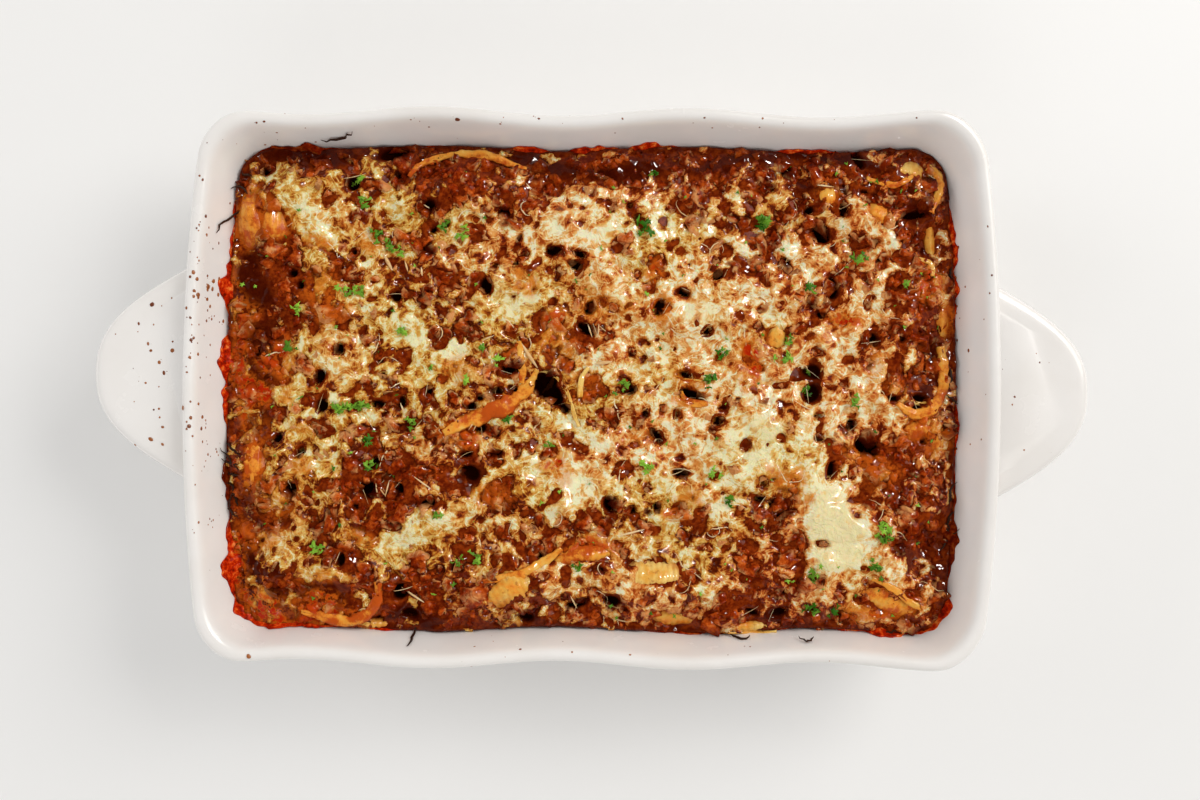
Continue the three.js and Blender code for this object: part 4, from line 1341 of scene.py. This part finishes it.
grain_at, grain_size = crumble_places(
    spacing=2.6 * MM, gap=1 * MM, count=GRAINS, low=0.6 * MM, high=1.6 * MM, mean=1 * MM, rise=0.2
)
loose = look_below(NET, grain_at) < 0.35
grain_at, grain_size = grain_at[loose], grain_size[loose]
grain_at[:, 2] = look_below(blurred(TOP, 0.8 * MM), grain_at) - 0.3 * grain_size
forms, faces = lumps(count=24, segments=5, rings=4, rough=0.6)
grains, each = scattered("mince_grains", forms, faces, grain_at, grain_size, any_turn(len(grain_at)))
paint_meat(grains, each, len(grain_at))
finish_piece(grains, MINCE, "meat_sauce")

# %% [markdown]
# ## Lips and backs of shells that show
# Where a shell comes up through the cheese, baking has stretched its lip into a smooth orange band, and
# where one lies upside down its ribbed back shows yellow. A band is a grid led along listed points; a
# back is a low ribbed dome.

# %% Lips and backs
SURFACE = np.maximum(TOP, CHEESE)
LEVEL = blurred(SURFACE, 2.5 * MM)
BED = blurred(SAUCE, 3 * MM)
LIP_THICK = 0.8 * MM
# Each lip: how orange it is, then points of x, y and half width in millimetres.
LIPS = [
    (0.75, (-66, -20.5, 1.5), (-59, -16.5, 2.4), (-52, -13.5, 3), (-45, -10.5, 3.4), (-38, -7.5, 3.8),
     (-32, -4, 3.2), (-29.5, 0.5, 2.4), (-27.5, 5, 2), (-25, 8.5, 1.4)),
    (0.1, (-25.5, 8, 0.8), (-21, 7.8, 0.7), (-17, 6, 0.7), (-13.5, 2.5, 0.7), (-10.5, -2.5, 0.7),
     (-8.5, -7.5, 0.8), (-8, -12, 0.8), (-5.5, -17, 0.6)),
    (0.0, (-5.2, -4, 0.9), (-5.5, 0.5, 1.1), (-4.6, 5, 1.1), (-1.5, 9.5, 0.9)),
    (0.8, (-33, 21, 1.2), (-32, 14, 1.6), (-31, 8, 1.6), (-31.5, 2, 1.2)),
    (0.9, (-83, 95, 0.8), (-79.5, 100, 1.1), (-72, 103.8, 1.3), (-62, 105.6, 1.4), (-52, 105.4, 1.6),
     (-44, 103.6, 1.8), (-37, 101, 1.2), (-30, 99, 0.6)),
    (0.6, (151, 101, 1.6), (155.5, 97.5, 1.7), (156.5, 92, 1.7), (154, 86, 1.6), (151.5, 80, 1.4)),
    (0.5, (123, 95.5, 0.8), (129, 93, 1.2), (135, 91.8, 1.3), (140, 94, 1.2), (144, 96.5, 1)),
    (0.7, (157.5, 20, 2), (158.5, 13, 2.2), (158.8, 6, 1.8), (158, 0, 1.8), (155.5, -5, 2.2),
     (151, -9.3, 2.2), (146, -10.8, 2), (140.5, -9.3, 1.5), (136.5, -5.5, 1)),
    (0.4, (153, -4.5, 0.9), (148, -6, 1), (143, -5.2, 0.8)),
    (0.6, (146, 59, 0.8), (151, 58, 1), (153, 55, 1), (152.5, 51.5, 0.8)),
    (0.75, (-130, -101, 1), (-124, -102.5, 1.8), (-117, -104.5, 2.4), (-110, -105.5, 2.3),
     (-103, -103.5, 2.2), (-97.5, -99.5, 2.1), (-94.5, -94, 2), (-95, -87, 1.4)),
    (0.6, (126, -84, 0.8), (131, -86, 1.2), (137, -90, 1.4), (143, -95, 1.5), (150, -97.5, 1.2)),
    (0.6, (40, -1, 0.8), (41.5, -4.5, 1), (46, -6.5, 1.4), (52, -6.5, 1)),
    (0.2, (38, 3.5, 0.8), (43, 3.4, 1.3), (49, 3, 1)),
    (0.3, (62, -109, 0.6), (72, -109.6, 0.7), (84, -109, 0.7)),
    (0.7, (-48, -86.5, 1), (-42, -85, 1.6), (-34, -84, 1.8), (-26, -81, 2), (-19, -76.5, 1.8),
     (-13, -72, 1.2)),
]


def pasta_sheet(obj, at, edge, orange):
    """Sets the points of a lip or a back, gives it its thickness and stores how orange it is and the
    painted shade along its edges.
    """
    move_points(obj, at)
    paint_points(obj, "edge", edge)
    thickened(obj, LIP_THICK, -1)
    paint_points(obj, "orange", np.full(len(obj.data.vertices), orange))
    return obj


def baked_lip(number, orange, points):
    """A band of pasta, arched across, along listed points."""
    points = np.array(points) * MM
    steps = np.append(0, np.cumsum(np.linalg.norm(np.diff(points[:, :2], axis=0), axis=1)))
    obj, grid = new_grid(f"pasta_lip_{number:02d}", int(steps[-1] / (0.8 * MM)) + 2, 8)
    along, across = (grid[:, 0] + 1) / 2 * steps[-1], grid[:, 1]
    fine = np.linspace(0, steps[-1], 200)
    course = np.column_stack([np.interp(fine, steps, points[:, k]) for k in range(3)])
    for _ in range(2):
        padded = np.pad(course, ((8, 8), (0, 0)), mode="reflect", reflect_type="odd")
        course = np.column_stack([np.convolve(padded[:, k], np.ones(17) / 17, "valid") for k in range(3)])
    heading = np.gradient(course[:, :2], axis=0)
    heading /= np.linalg.norm(heading, axis=1)[:, None]
    x, y, half = (np.interp(along, fine, course[:, k]) for k in range(3))
    side_x, side_y = -np.interp(along, fine, heading[:, 1]), np.interp(along, fine, heading[:, 0])
    ragged = rugged(along * 150, across * 1.3, number) + 0.6 * rugged(along * 420, across * 2, number)
    v = across * 1.15 * half * (1 + 0.5 * ragged)
    z = look_up(LEVEL, x, y) + (0.4 + 1.3 * rugged(along * 70, 0.3, number) + 0.7 * ragged) * MM
    z += 0.55 * half * np.sqrt(np.maximum(1 - across**2, 0))
    at = np.column_stack([x + v * side_x, y + v * side_y, z])
    # Painted shade towards both sides of the band, where it curves down.
    return pasta_sheet(obj, at, 0.8 * np.abs(across) ** 3, orange)


def pasta_back(number, x, y, long, wide, turn, height, orange):
    """The ribbed back of a shell, a dome that rises out of the sauce."""
    obj, grid = new_grid(f"pasta_back_{number:02d}", int(long * 3.2), int(wide * 2) + 4)
    long, wide = 1.3 * long, 1.3 * wide
    u = grid[:, 0] * np.sqrt(1 - grid[:, 1] ** 2 / 2)
    v = grid[:, 1] * np.sqrt(1 - grid[:, 0] ** 2 / 2)
    rise = 1 - (u * u + v * v)
    torn = 1 + 0.35 * rugged(u * 1.6, v * 1.6, number * 3.1)
    u, v = u * torn, v * torn
    ribs = 0.3 * np.cos(2 * math.pi * u * long / 2.6) * eased(rise, 0.3, 0.7)
    angle = math.radians(turn)
    px = (x + u * long * math.cos(angle) - v * wide * math.sin(angle)) * MM
    py = (y + u * long * math.sin(angle) + v * wide * math.cos(angle)) * MM
    ragged = rugged(px * 130, py * 130, number)
    pz = look_up(BED, px, py) + ((height + 3) * rise - 3 + ribs + 0.8 * ragged) * MM
    # Painted shade round the foot of the dome and in the hollows between its ribs.
    return pasta_sheet(obj, np.column_stack([px, py, pz]), 1.25 - rise.clip(0) - 0.5 * ribs, orange)


def baked_pasta():
    """Yellow pasta that sauce and oil turned orange, with brown specks where it caught the heat."""
    paint = Paint("baked_pasta")
    soak = paint.painted("orange") + 2.4 * (paint.noise(150, 4, 0.65) - 0.5)
    soak = soak + 2.0 * (paint.noise(45, 2) - 0.5)
    tone = paint.ramp(
        soak.limited(),
        (0.0, (0.88, 0.58, 0.16)),
        (0.35, (0.84, 0.42, 0.065)),
        (0.7, (0.86, 0.30, 0.030)),
        (1.0, (0.55, 0.085, 0.006)),
    )
    scorch = paint.noise(380, 4, 0.7).between(0.56, 0.70)
    tone = paint.mix(scorch * 0.5, tone, (0.34, 0.05, 0.006))
    # Painted shade on the edges of lips and at the foot and rib hollows of backs.
    tone = paint.mix(paint.painted("edge").between(0.4, 1.0) * 0.75, tone, (0.42, 0.085, 0.010))
    return paint.finish(
        tone=tone, roughness=0.42, normal=paint.bump(paint.noise(700, 4, 0.6), 0.35 * MM, 0.8),
        specular=0.05, coat=0.4, coat_roughness=0.12,
    )


pieces = [baked_lip(number, lip[0], lip[1:]) for number, lip in enumerate(LIPS, 1)]
pieces += [pasta_back(number, *row) for number, row in enumerate(BACKS, 1)]
select_only(pieces[0])
for piece in pieces:
    piece.select_set(True)
bpy.ops.object.join()
baked = bpy.context.object
baked.name = "shell_lips_and_backs"
finish_piece(baked, baked_pasta(), "pasta")

# %% [markdown]
# ## Threads of cheese
# Shreds that fell outside the crowd stay threads. Each follows the surface below it, sagging between
# crumbles, and some hang across the open holes. They are curves with a bevel, which Blender turns
# into mesh in one step.


# %% Threads
def threads(name, paths, widths, material, slot):
    """Bevelled curves through rows of points, turned into one mesh."""
    data = bpy.data.curves.new(name, "CURVE")
    data.dimensions = "3D"
    data.bevel_depth = 1.0
    data.bevel_resolution = 0
    for path, width in zip(paths, widths):
        spline = data.splines.new("POLY")
        spline.points.add(len(path) - 1)
        spline.points.foreach_set("co", np.column_stack([path, np.ones(len(path))]).ravel())
        taper = width * (0.12 + 0.88 * np.sin(np.linspace(0.1, math.pi - 0.1, len(path))))
        spline.points.foreach_set("radius", taper)
    obj = bpy.data.objects.new(name, data)
    bpy.context.scene.collection.objects.link(obj)
    select_only(obj)
    bpy.ops.object.convert(target="MESH")
    obj = bpy.context.object
    smooth(obj)
    finish_piece(obj, material, slot)


DRAPE = np.maximum(blurred(SURFACE, 1.1 * MM), SURFACE - 0.35 * MM)
THREADS = 90
BRIDGE_REACH = 1.25


def draped_threads(count):
    """Paths that lie on the surface, more of them where the cheese is."""
    x, y = jittered(3.1 * MM, 0.5, 2 * MM)
    weights = look_up(NET, x, y) * (1 - 0.7 * look_up(POOL, x, y)) * (1 - 0.7 * look_up(MEAT_SHARE, x, y))
    x, y = chosen(x, y, weights * (1 - look_up(BARE, x, y)).clip(0), count)
    paths = []
    for px, py in zip(x, y):
        steps = rng.integers(9, 22)
        heading = rng.uniform(0, 2 * math.pi) + np.cumsum(rng.normal(0, 0.12) + rng.normal(0, 0.22, steps))
        stride = rng.uniform(0.7, 1.1) * MM
        path_x = px + np.cumsum(np.cos(heading)) * stride
        path_y = py + np.cumsum(np.sin(heading)) * stride
        inside = wall_gap(path_x, path_y, EDGE_Z) > 1 * MM
        path_x, path_y = path_x[inside], path_y[inside]
        if len(path_x) > 3:
            paths.append(np.column_stack([path_x, path_y, look_up(DRAPE, path_x, path_y) - 0.1 * MM]))
    return paths


def bridging_threads():
    """Strings that melted cheese drew across the larger holes."""
    paths = []
    for x, y, long, wide in HOLES:
        reach = max(long, wide) * MM
        for _ in range(rng.integers(0, 2) if 2.4 * MM < reach < 6 * MM else 0):
            angle = rng.uniform(0, math.pi)
            off = rng.uniform(-0.6, 0.6) * reach
            share = np.linspace(-1, 1, 7)
            out = share * BRIDGE_REACH * reach
            path_x = x * MM + out * math.cos(angle) - off * math.sin(angle)
            path_y = y * MM + out * math.sin(angle) + off * math.cos(angle)
            ends = look_up(DRAPE, path_x[[0, -1]], path_y[[0, -1]])
            sag = 1 - share**2
            z = np.interp(share, [-1, 1], ends) - 0.7 * MM * sag
            path_y = path_y + rng.normal(0, 0.12 * reach) * sag
            paths.append(np.column_stack([path_x, path_y, z + 0.2 * MM]))
    return paths


def thread_look():
    """Cream to straw, as cheese browns sooner where it is thin."""
    paint = Paint("cheese_threads")
    tone = paint.mix(paint.noise(110, 3).between(0.32, 0.68), (0.78, 0.46, 0.18), (0.93, 0.78, 0.48))
    return paint.finish(tone=tone, roughness=0.4, specular=0.05, coat=0.35, coat_roughness=0.12)


# Each row: the two ends of an unmelted sliver in millimetres, and its half width.
SLIVERS = [
    (-33, 21.5, -24.3, 9, 0.9), (-94, 60, -90, 52.5, 0.8), (-84.5, 57, -83, 52, 0.45),
    (-77, 54, -76.5, 50, 0.5), (-79, -40, -71, -45.5, 0.4), (-85, -90, -74, -97, 0.45),
    (-30, 92, -28, 89, 0.3), (-76, 82, -73.5, 80.5, 0.3), (9, 12, 1, 11, 0.9),
    (-96.5, -43, -95.5, -49, 0.35), (-90.5, -42, -92, -49, 0.35), (-95, -45, -92, -48.5, 0.3),
    (-2, 29, 0, 23, 0.35), (3, 29, 2.5, 23, 0.35), (-84, -12, -86, -7, 0.4), (-52, -14, -55, -19, 0.35),
    (-51, -15, -53, -19.5, 0.3), (100, 92, 108, 91, 0.4), (12, -66, 24, -63, 0.5), (-9, -93, -6, -99, 0.35),
]


def slivers():
    """Nearly straight shreds that kept their shape."""
    paths = []
    for x0, y0, x1, y1, _ in SLIVERS:
        share = np.linspace(0, 1, 6)
        x, y = (x0 + (x1 - x0) * share) * MM, (y0 + (y1 - y0) * share) * MM
        z = look_up(LEVEL, x, y)
        z = np.maximum(z, np.interp(share, [0, 1], z[[0, -1]])) + 0.9 * MM
        paths.append(np.column_stack([x, y, z]))
    return paths


paths = draped_threads(THREADS)
widths = rng.uniform(0.16, 0.36, len(paths)) * MM
spans = bridging_threads()
widths = [*widths, *rng.uniform(0.08, 0.2, len(spans)) * MM, *(row[4] * MM for row in SLIVERS)]
threads("cheese_threads", paths + spans + slivers(), widths, thread_look(), "cheese")

# %% [markdown]
# ## Sauce on the wall
# The sauce boiled up and sank back, so it left a ragged ribbon round the inside of the wall: red-orange
# on the left and in the corners, dark along the far side. A strip runs round the wall; its upper edge
# follows uneven noise.

# %% Ribbon of sauce
AROUND = 1100
LEVELS = 7
RIBBON_THICK = 0.5 * MM
# Each row: x, y and reach in millimetres along the wall, how high the sauce climbed there, and how red it is.
CLIMBS = [
    (-163, 45, 20, 8, 1), (-163, 12, 16, 7, 1), (-162, -5, 12, 7, 1), (-160, 70, 16, 4, 0.8),
    (-160, -78, 24, 7, 1), (-150, -104, 20, 6, 1), (-125, -108, 24, 4.5, 1), (-95, -108, 12, 2, 0.9),
    (-127, 110, 8, 7, 1), (-28, 109, 12, 5.5, 0.9), (0, 109, 14, 6.5, 0.9), (24, 109, 14, 6.5, 0.85),
    (95, 108, 26, 3.5, 0.7), (157, 60, 30, 3, 0.8), (160, 42, 12, 4, 1), (158, -20, 18, 3, 0.9),
    (152, -100, 20, 6, 1), (130, -107, 24, 4.5, 1), (159, -65, 34, 4, 0.1), (-160, -40, 26, 4, 0.1),
    (-135, 108, 30, 3, 0.1), (60, -110, 60, 2, 0.3),
]


def wall_ribbon():
    """A strip led round the wall, which it follows at every height, thicker at its foot."""
    obj, grid = new_grid("sauce_on_wall", AROUND, LEVELS)
    outline, _ = rounded_rectangle(*FOOD_HALF, 16 * MM)
    outline = np.vstack([outline, outline[:1]])
    lengths = np.linalg.norm(np.diff(outline, axis=0), axis=1)
    share = np.append(0, np.cumsum(lengths)) / lengths.sum()
    turn = (grid[:, 0] + 1) / 2
    ray = np.column_stack([np.interp(turn, share, outline[:, k]) for k in (0, 1)])
    ragged = rugged(*(ray * 90).T, 3) + 0.5 * rugged(*(ray * 240).T, 9)
    climb, red = np.full(len(ray), 0.2), np.full(len(ray), 0.25)
    for x, y, reach, height, redness in CLIMBS:
        near = np.exp(-2 * ((ray[:, 0] - x * MM) ** 2 + (ray[:, 1] - y * MM) ** 2) / (reach * MM) ** 2)
        climb = np.maximum(climb, height * near)
        red += (redness - red) * near
    rise = (climb * (1 + 0.9 * ragged) + 0.8 * ragged).clip(-1.2, 12) * MM
    up = (grid[:, 1] + 1) / 2
    high = np.minimum(climb / 6, 1)
    foot = EDGE_Z + (3.6 * high - 2.5) * MM
    z = foot + up * (EDGE_Z + rise + 1.2 * MM - foot).clip(0.3 * MM)
    skin = 0.35 * MM + (0.9 + 3.2 * high * (1 + ragged)).clip(0.5) * MM * (1 - up) ** 1.5
    move_points(obj, np.column_stack([within_wall(ray, z, skin), z]))
    paint_points(obj, "red", red)
    thickened(obj, RIBBON_THICK, 0)
    return obj


def wall_sauce():
    """Nearly black where it baked hard, tomato red where it stayed thin."""
    paint = Paint("sauce_on_wall")
    cloud = paint.noise(330, 5, 0.7)
    dark = paint.mix(cloud.between(0.4, 0.7), (0.05, 0.004, 0.0006), (0.20, 0.028, 0.003))
    red = paint.ramp(
        cloud.between(0.3, 0.7),
        (0.0, (0.14, 0.006, 0.0006)),
        (0.45, (0.50, 0.016, 0.0012)),
        (0.75, (0.70, 0.06, 0.005)),
        (1.0, (0.88, 0.24, 0.04)),
    )
    tone = paint.mix((1.5 * paint.painted("red")).limited(), dark, red)
    return paint.finish(tone=tone, roughness=0.5, specular=0.0, coat=0.12, coat_roughness=0.12)


finish_piece(wall_ribbon(), wall_sauce(), "meat_sauce")

# %% [markdown]
# ## What burnt on, and what splashed
# Where shreds touched the hot wall they burnt to dark wiry threads. Fat spat small orange-brown drops
# over the left rim, the left wall and its handle, and fewer elsewhere. A drop is a flattened ball that
# lies on the glaze, so each one asks the dish for the height and the slope below it.

# %% Burnt threads
# How far up the wall a thread may have to be moved, in millimetres.
HIGHEST = 20
BURNT = [
    (-163, 89, -159, 92, -156, 87), (-168, 68, -165, 76, -159, 80), (-122, 110, -112, 111, -107, 113),
    (-159, 96, -157, 96, -154, 95), (-167, -28, -163, -33, -158, -38), (-165, -25, -162, -29, -157, -31),
    (-166, -33, -162, -36, -158, -35), (165, -41, 160, -45, 162, -52), (164, -54, 159, -57, 163, -66),
    (165, -62, 161, -68, 158, -72), (-165, -44, -160, -42, -163, -52), (-163, -50, -165, -56, -159, -60),
    (-164, -39, -161, -40, -158, -40), (-162, -46, -161, -50, -159, -54), (-79, -108, -79, -112, -81, -115),
    (62, -109, 67, -113, 72, -110), (93, -110, 97, -113, 100, -110), (161, 12, 163, 6, 161, 1),
    (160, -2, 163, -3, 165, -6), (162, 56, 161, 53, 162, 50), (161, -44, 163, -47, 162, -50),
    (160, -60, 162, -63, 161, -67), (130, -108, 134, -110, 138, -108),
]


def burnt_paths():
    """Bent lines that lie on the wall where they would pass through it."""
    paths = []
    for x0, y0, x1, y1, x2, y2 in BURNT:
        t = np.linspace(0, 1, 9)[:, None]
        ends = np.array([(x0, y0), (x1, y1), (x2, y2)]) * MM
        flat = (1 - t) ** 2 * ends[0] + 2 * t * (1 - t) * ends[1] + t**2 * ends[2]
        flat += rng.normal(0, 0.25 * MM, flat.shape)
        heights = []
        for x, y in flat:
            levels = EDGE_Z + np.arange(HIGHEST) * MM
            free = wall_gap(np.full(HIGHEST, x), np.full(HIGHEST, y), levels) > 0.5 * MM
            heights.append(levels[int(np.argmax(free))] + 0.6 * MM if free.any() else EDGE_Z + HIGHEST * MM)
        paths.append(np.column_stack([flat, np.maximum(heights, look_below(DRAPE, flat) + 0.3 * MM)]))
    return paths


def burnt_look():
    """Charred, almost black."""
    paint = Paint("burnt_cheese")
    tone = paint.mix(paint.noise(200, 2), (0.012, 0.005, 0.003), (0.07, 0.025, 0.012))
    return paint.finish(tone=tone, roughness=0.5, specular=0.1)


paths = burnt_paths()
threads("burnt_threads", paths, rng.uniform(0.45, 0.75, len(paths)) * MM, burnt_look(), "cheese")

# %% Splashes
dish_tree = BVHTree.FromPolygons(points_of(dish).tolist(), [face.vertices for face in dish.data.polygons])
# Each row: x, y, half length, half width of the cloud of drops, how many, and the largest drop's radius.
SPLASHES = [
    (-171, 38, 6, 26, 46, 1), (-176, 0, 5, 60, 30, 0.8), (-170, -30, 5, 40, 26, 0.8),
    (-196, 6, 12, 34, 26, 1), (-170, 70, 6, 24, 16, 0.7), (164, 38, 5, 18, 26, 0.9),
    (176, 0, 8, 80, 12, 0.6), (0, 117, 150, 5, 26, 0.6), (0, -116, 150, 5, 16, 0.6),
    (196, 0, 12, 26, 5, 0.5), (-150, 110, 20, 8, 14, 0.6),
]
LARGE_DROPS = [
    (-196, 36, 1.5), (-190, 54, 1.3), (-196, -24, 1.3), (-180, -10, 1.3), (-177, -18, 1.2), (-171, 44, 1.5),
    (-168, 41, 1.2), (-174, 40, 1.4), (-167, 47, 1.1), (-150, -119, 1.2), (-60, 118, 1.1), (160, 43, 1.3),
]


def splash_places():
    """The large drops as listed, then the clouds of small ones: x, y and radius in millimetres."""
    places = list(LARGE_DROPS)
    for x, y, long, wide, count, largest in SPLASHES:
        for _ in range(count):
            radius = largest * rng.uniform(0.28, 1.0) ** 1.6 + 0.12
            places.append((x + rng.normal(0, long / 2), y + rng.normal(0, wide / 2), radius))
    return places


def drops():
    """Flattened balls, each laid along the slope of the glaze below it."""
    forms, faces = lumps(count=10, segments=8, rings=5, rough=0.16)
    at, size, turns = [], [], []
    for x, y, radius in splash_places():
        place, normal, _, _ = dish_tree.ray_cast(Vector((x * MM, y * MM, ABOVE_ALL)), DOWN)
        if place is None or wall_gap(x * MM, y * MM, EDGE_Z) > -1 * MM:
            continue
        squash = np.diag([1, rng.uniform(0.75, 1.0), 0.22])
        at.append(np.array(place))
        size.append(radius * MM)
        turns.append(np.array(normal.to_track_quat("Z", "Y").to_matrix()) @ squash)
    obj, each = scattered("splashes", forms, faces, np.array(at), np.array(size), np.array(turns))
    paint_points(obj, "tone", np.repeat(rng.uniform(0, 1, len(at)), each))
    return obj


def splash_look():
    """Orange-brown, each drop baked to its own depth."""
    paint = Paint("baked_on_splashes")
    tone = paint.mix(paint.painted("tone"), (0.16, 0.030, 0.006), (0.42, 0.13, 0.025))
    return paint.finish(tone=tone, roughness=0.4, coat=0.2, coat_roughness=0.15)


finish_piece(drops(), splash_look(), "meat_sauce")

# %% [markdown]
# ## Parsley
# The herb went on last: torn leaflets and fine bits, scattered by hand, that lie on the cheese and fall
# into holes. A leaflet is a small lobed fan, bent and thickened; a pinch of them together makes the
# larger sprigs.


# %% Parsley
def leaflets(count):
    """Lobed, bent leaflets about 1 in radius, and the faces that they all share."""
    bpy.ops.object.select_all(action="DESELECT")
    bpy.ops.mesh.primitive_circle_add(vertices=14, radius=1, fill_type="TRIFAN")
    leaf = bpy.context.object
    apply_modifier(leaf, "SOLIDIFY", thickness=0.12, offset=0)
    base = points_of(leaf)
    leaf.data.calc_loop_triangles()
    faces = np.array([triangle.vertices[:] for triangle in leaf.data.loop_triangles])
    bpy.data.objects.remove(leaf)
    forms = []
    for _ in range(count):
        angle = np.arctan2(base[:, 1], base[:, 0])
        lobes = 0.72 + 0.34 * np.cos(angle * rng.integers(3, 6) + rng.uniform(0, 6))
        lobes += 0.10 * np.cos(angle * 7 + rng.uniform(0, 6))
        form = base.copy()
        form[:, 0] *= lobes * rng.uniform(0.8, 1.25)
        form[:, 1] *= lobes * rng.uniform(0.5, 0.9)
        form[:, 2] += rng.uniform(-0.9, 0.9) * form[:, 0] ** 2 + rng.uniform(0.3, 1.0) * np.abs(form[:, 1])
        form[:, 2] += 0.16 * np.cos(5 * angle + rng.uniform(0, 6)) * np.hypot(base[:, 0], base[:, 1])
        forms.append(form)
    return np.array(forms), faces


# Each row: x, y and radius in millimetres of a sprig that stands out.
SPRIGS = [
    (77, 75, 6.5), (23, 73, 6), (120, 60, 5), (-112, -9, 4), (-123, -72, 5.5), (88, 14, 5), (24, -35, 5),
    (52, 4, 5.5), (-106, 94, 4), (-103, 83, 4.5), (-96, 68, 4), (-92, 64, 4.5), (-88, 62, 4), (-66, 73, 4),
    (-58, 70, 4.5), (-133, 35, 3.5), (-112, 44, 4), (-105, 44, 4), (-85, 26, 4), (-135, 17, 4.5),
    (-81, -16, 4), (-104, -9, 5.5), (-113, -8, 5), (-57, 3, 3.5), (-50, 18, 3.5), (-42, 12, 4),
    (-38, -14, 4), (-18, -25, 3.5), (14, 1, 5), (130, -61, 5.5), (132, -66, 5), (127, -80, 5.5),
    (101, -82, 5), (100, -98, 4.5), (109, -99, 3.5), (56, -38, 4.5), (61, -50, 4), (118, -5, 4),
    (97, -1, 4), (88, 22, 3), (58, 16, 4.5), (-7, -80, 3), (97, 45, 4), (140, 48, 4), (28, 98, 4),
    (-100, -24, 4), (-99, -34, 4), (-68, -57, 3.5), (-60, -78, 3.5), (-52, -76, 3.5),
]


def parsley():
    """The sprigs, each a pinch of leaflets of one green, and fine bits over all the food."""
    forms, faces = leaflets(16)
    at, size, tone = [], [], []
    for x, y, radius in SPRIGS:
        shade = rng.uniform(0, 1)
        for _ in range(int(radius * 1.1) + 1):
            px = x * MM + rng.normal(0, 0.34 * radius) * MM
            py = y * MM + rng.normal(0, 0.34 * radius) * MM
            at.append((px, py, rng.uniform(0.3, 1.5) * MM))
            size.append(rng.uniform(1.5, 2.7) * MM * (0.6 + 0.08 * radius))
            tone.append(shade + rng.uniform(-0.3, 0.3))
    px, py = jittered(9 * MM, 0.5, 4 * MM)
    for x, y in zip(*chosen(px, py, np.ones(len(px)), 150)):
        at.append((x, y, 0.35 * MM))
        size.append(rng.uniform(0.6, 1.6) * MM)
        tone.append(rng.uniform(0, 1))
    at = np.array(at)
    at[:, 2] += look_below(SURFACE, at)
    turns = np.array([
        np.array(Matrix.Rotation(rng.uniform(0, 6.28), 3, "Z") @ Matrix.Rotation(rng.normal(0, 0.75), 3, "X"))
        for _ in at
    ])
    obj, each = scattered("parsley", forms, faces, at, np.array(size), turns)
    paint_points(obj, "tone", np.repeat(tone, each))
    return obj


def parsley_look():
    """From deep to yellowish green."""
    paint = Paint("chopped_parsley")
    tone = paint.mix(paint.painted("tone").limited(), (0.040, 0.17, 0.003), (0.36, 0.66, 0.055))
    return paint.finish(
        tone=tone, roughness=0.45, normal=paint.bump(paint.noise(1800, 2), 0.2 * MM, 0.6),
        specular=0.15,
    )


finish_piece(parsley(), parsley_look(), "parsley")
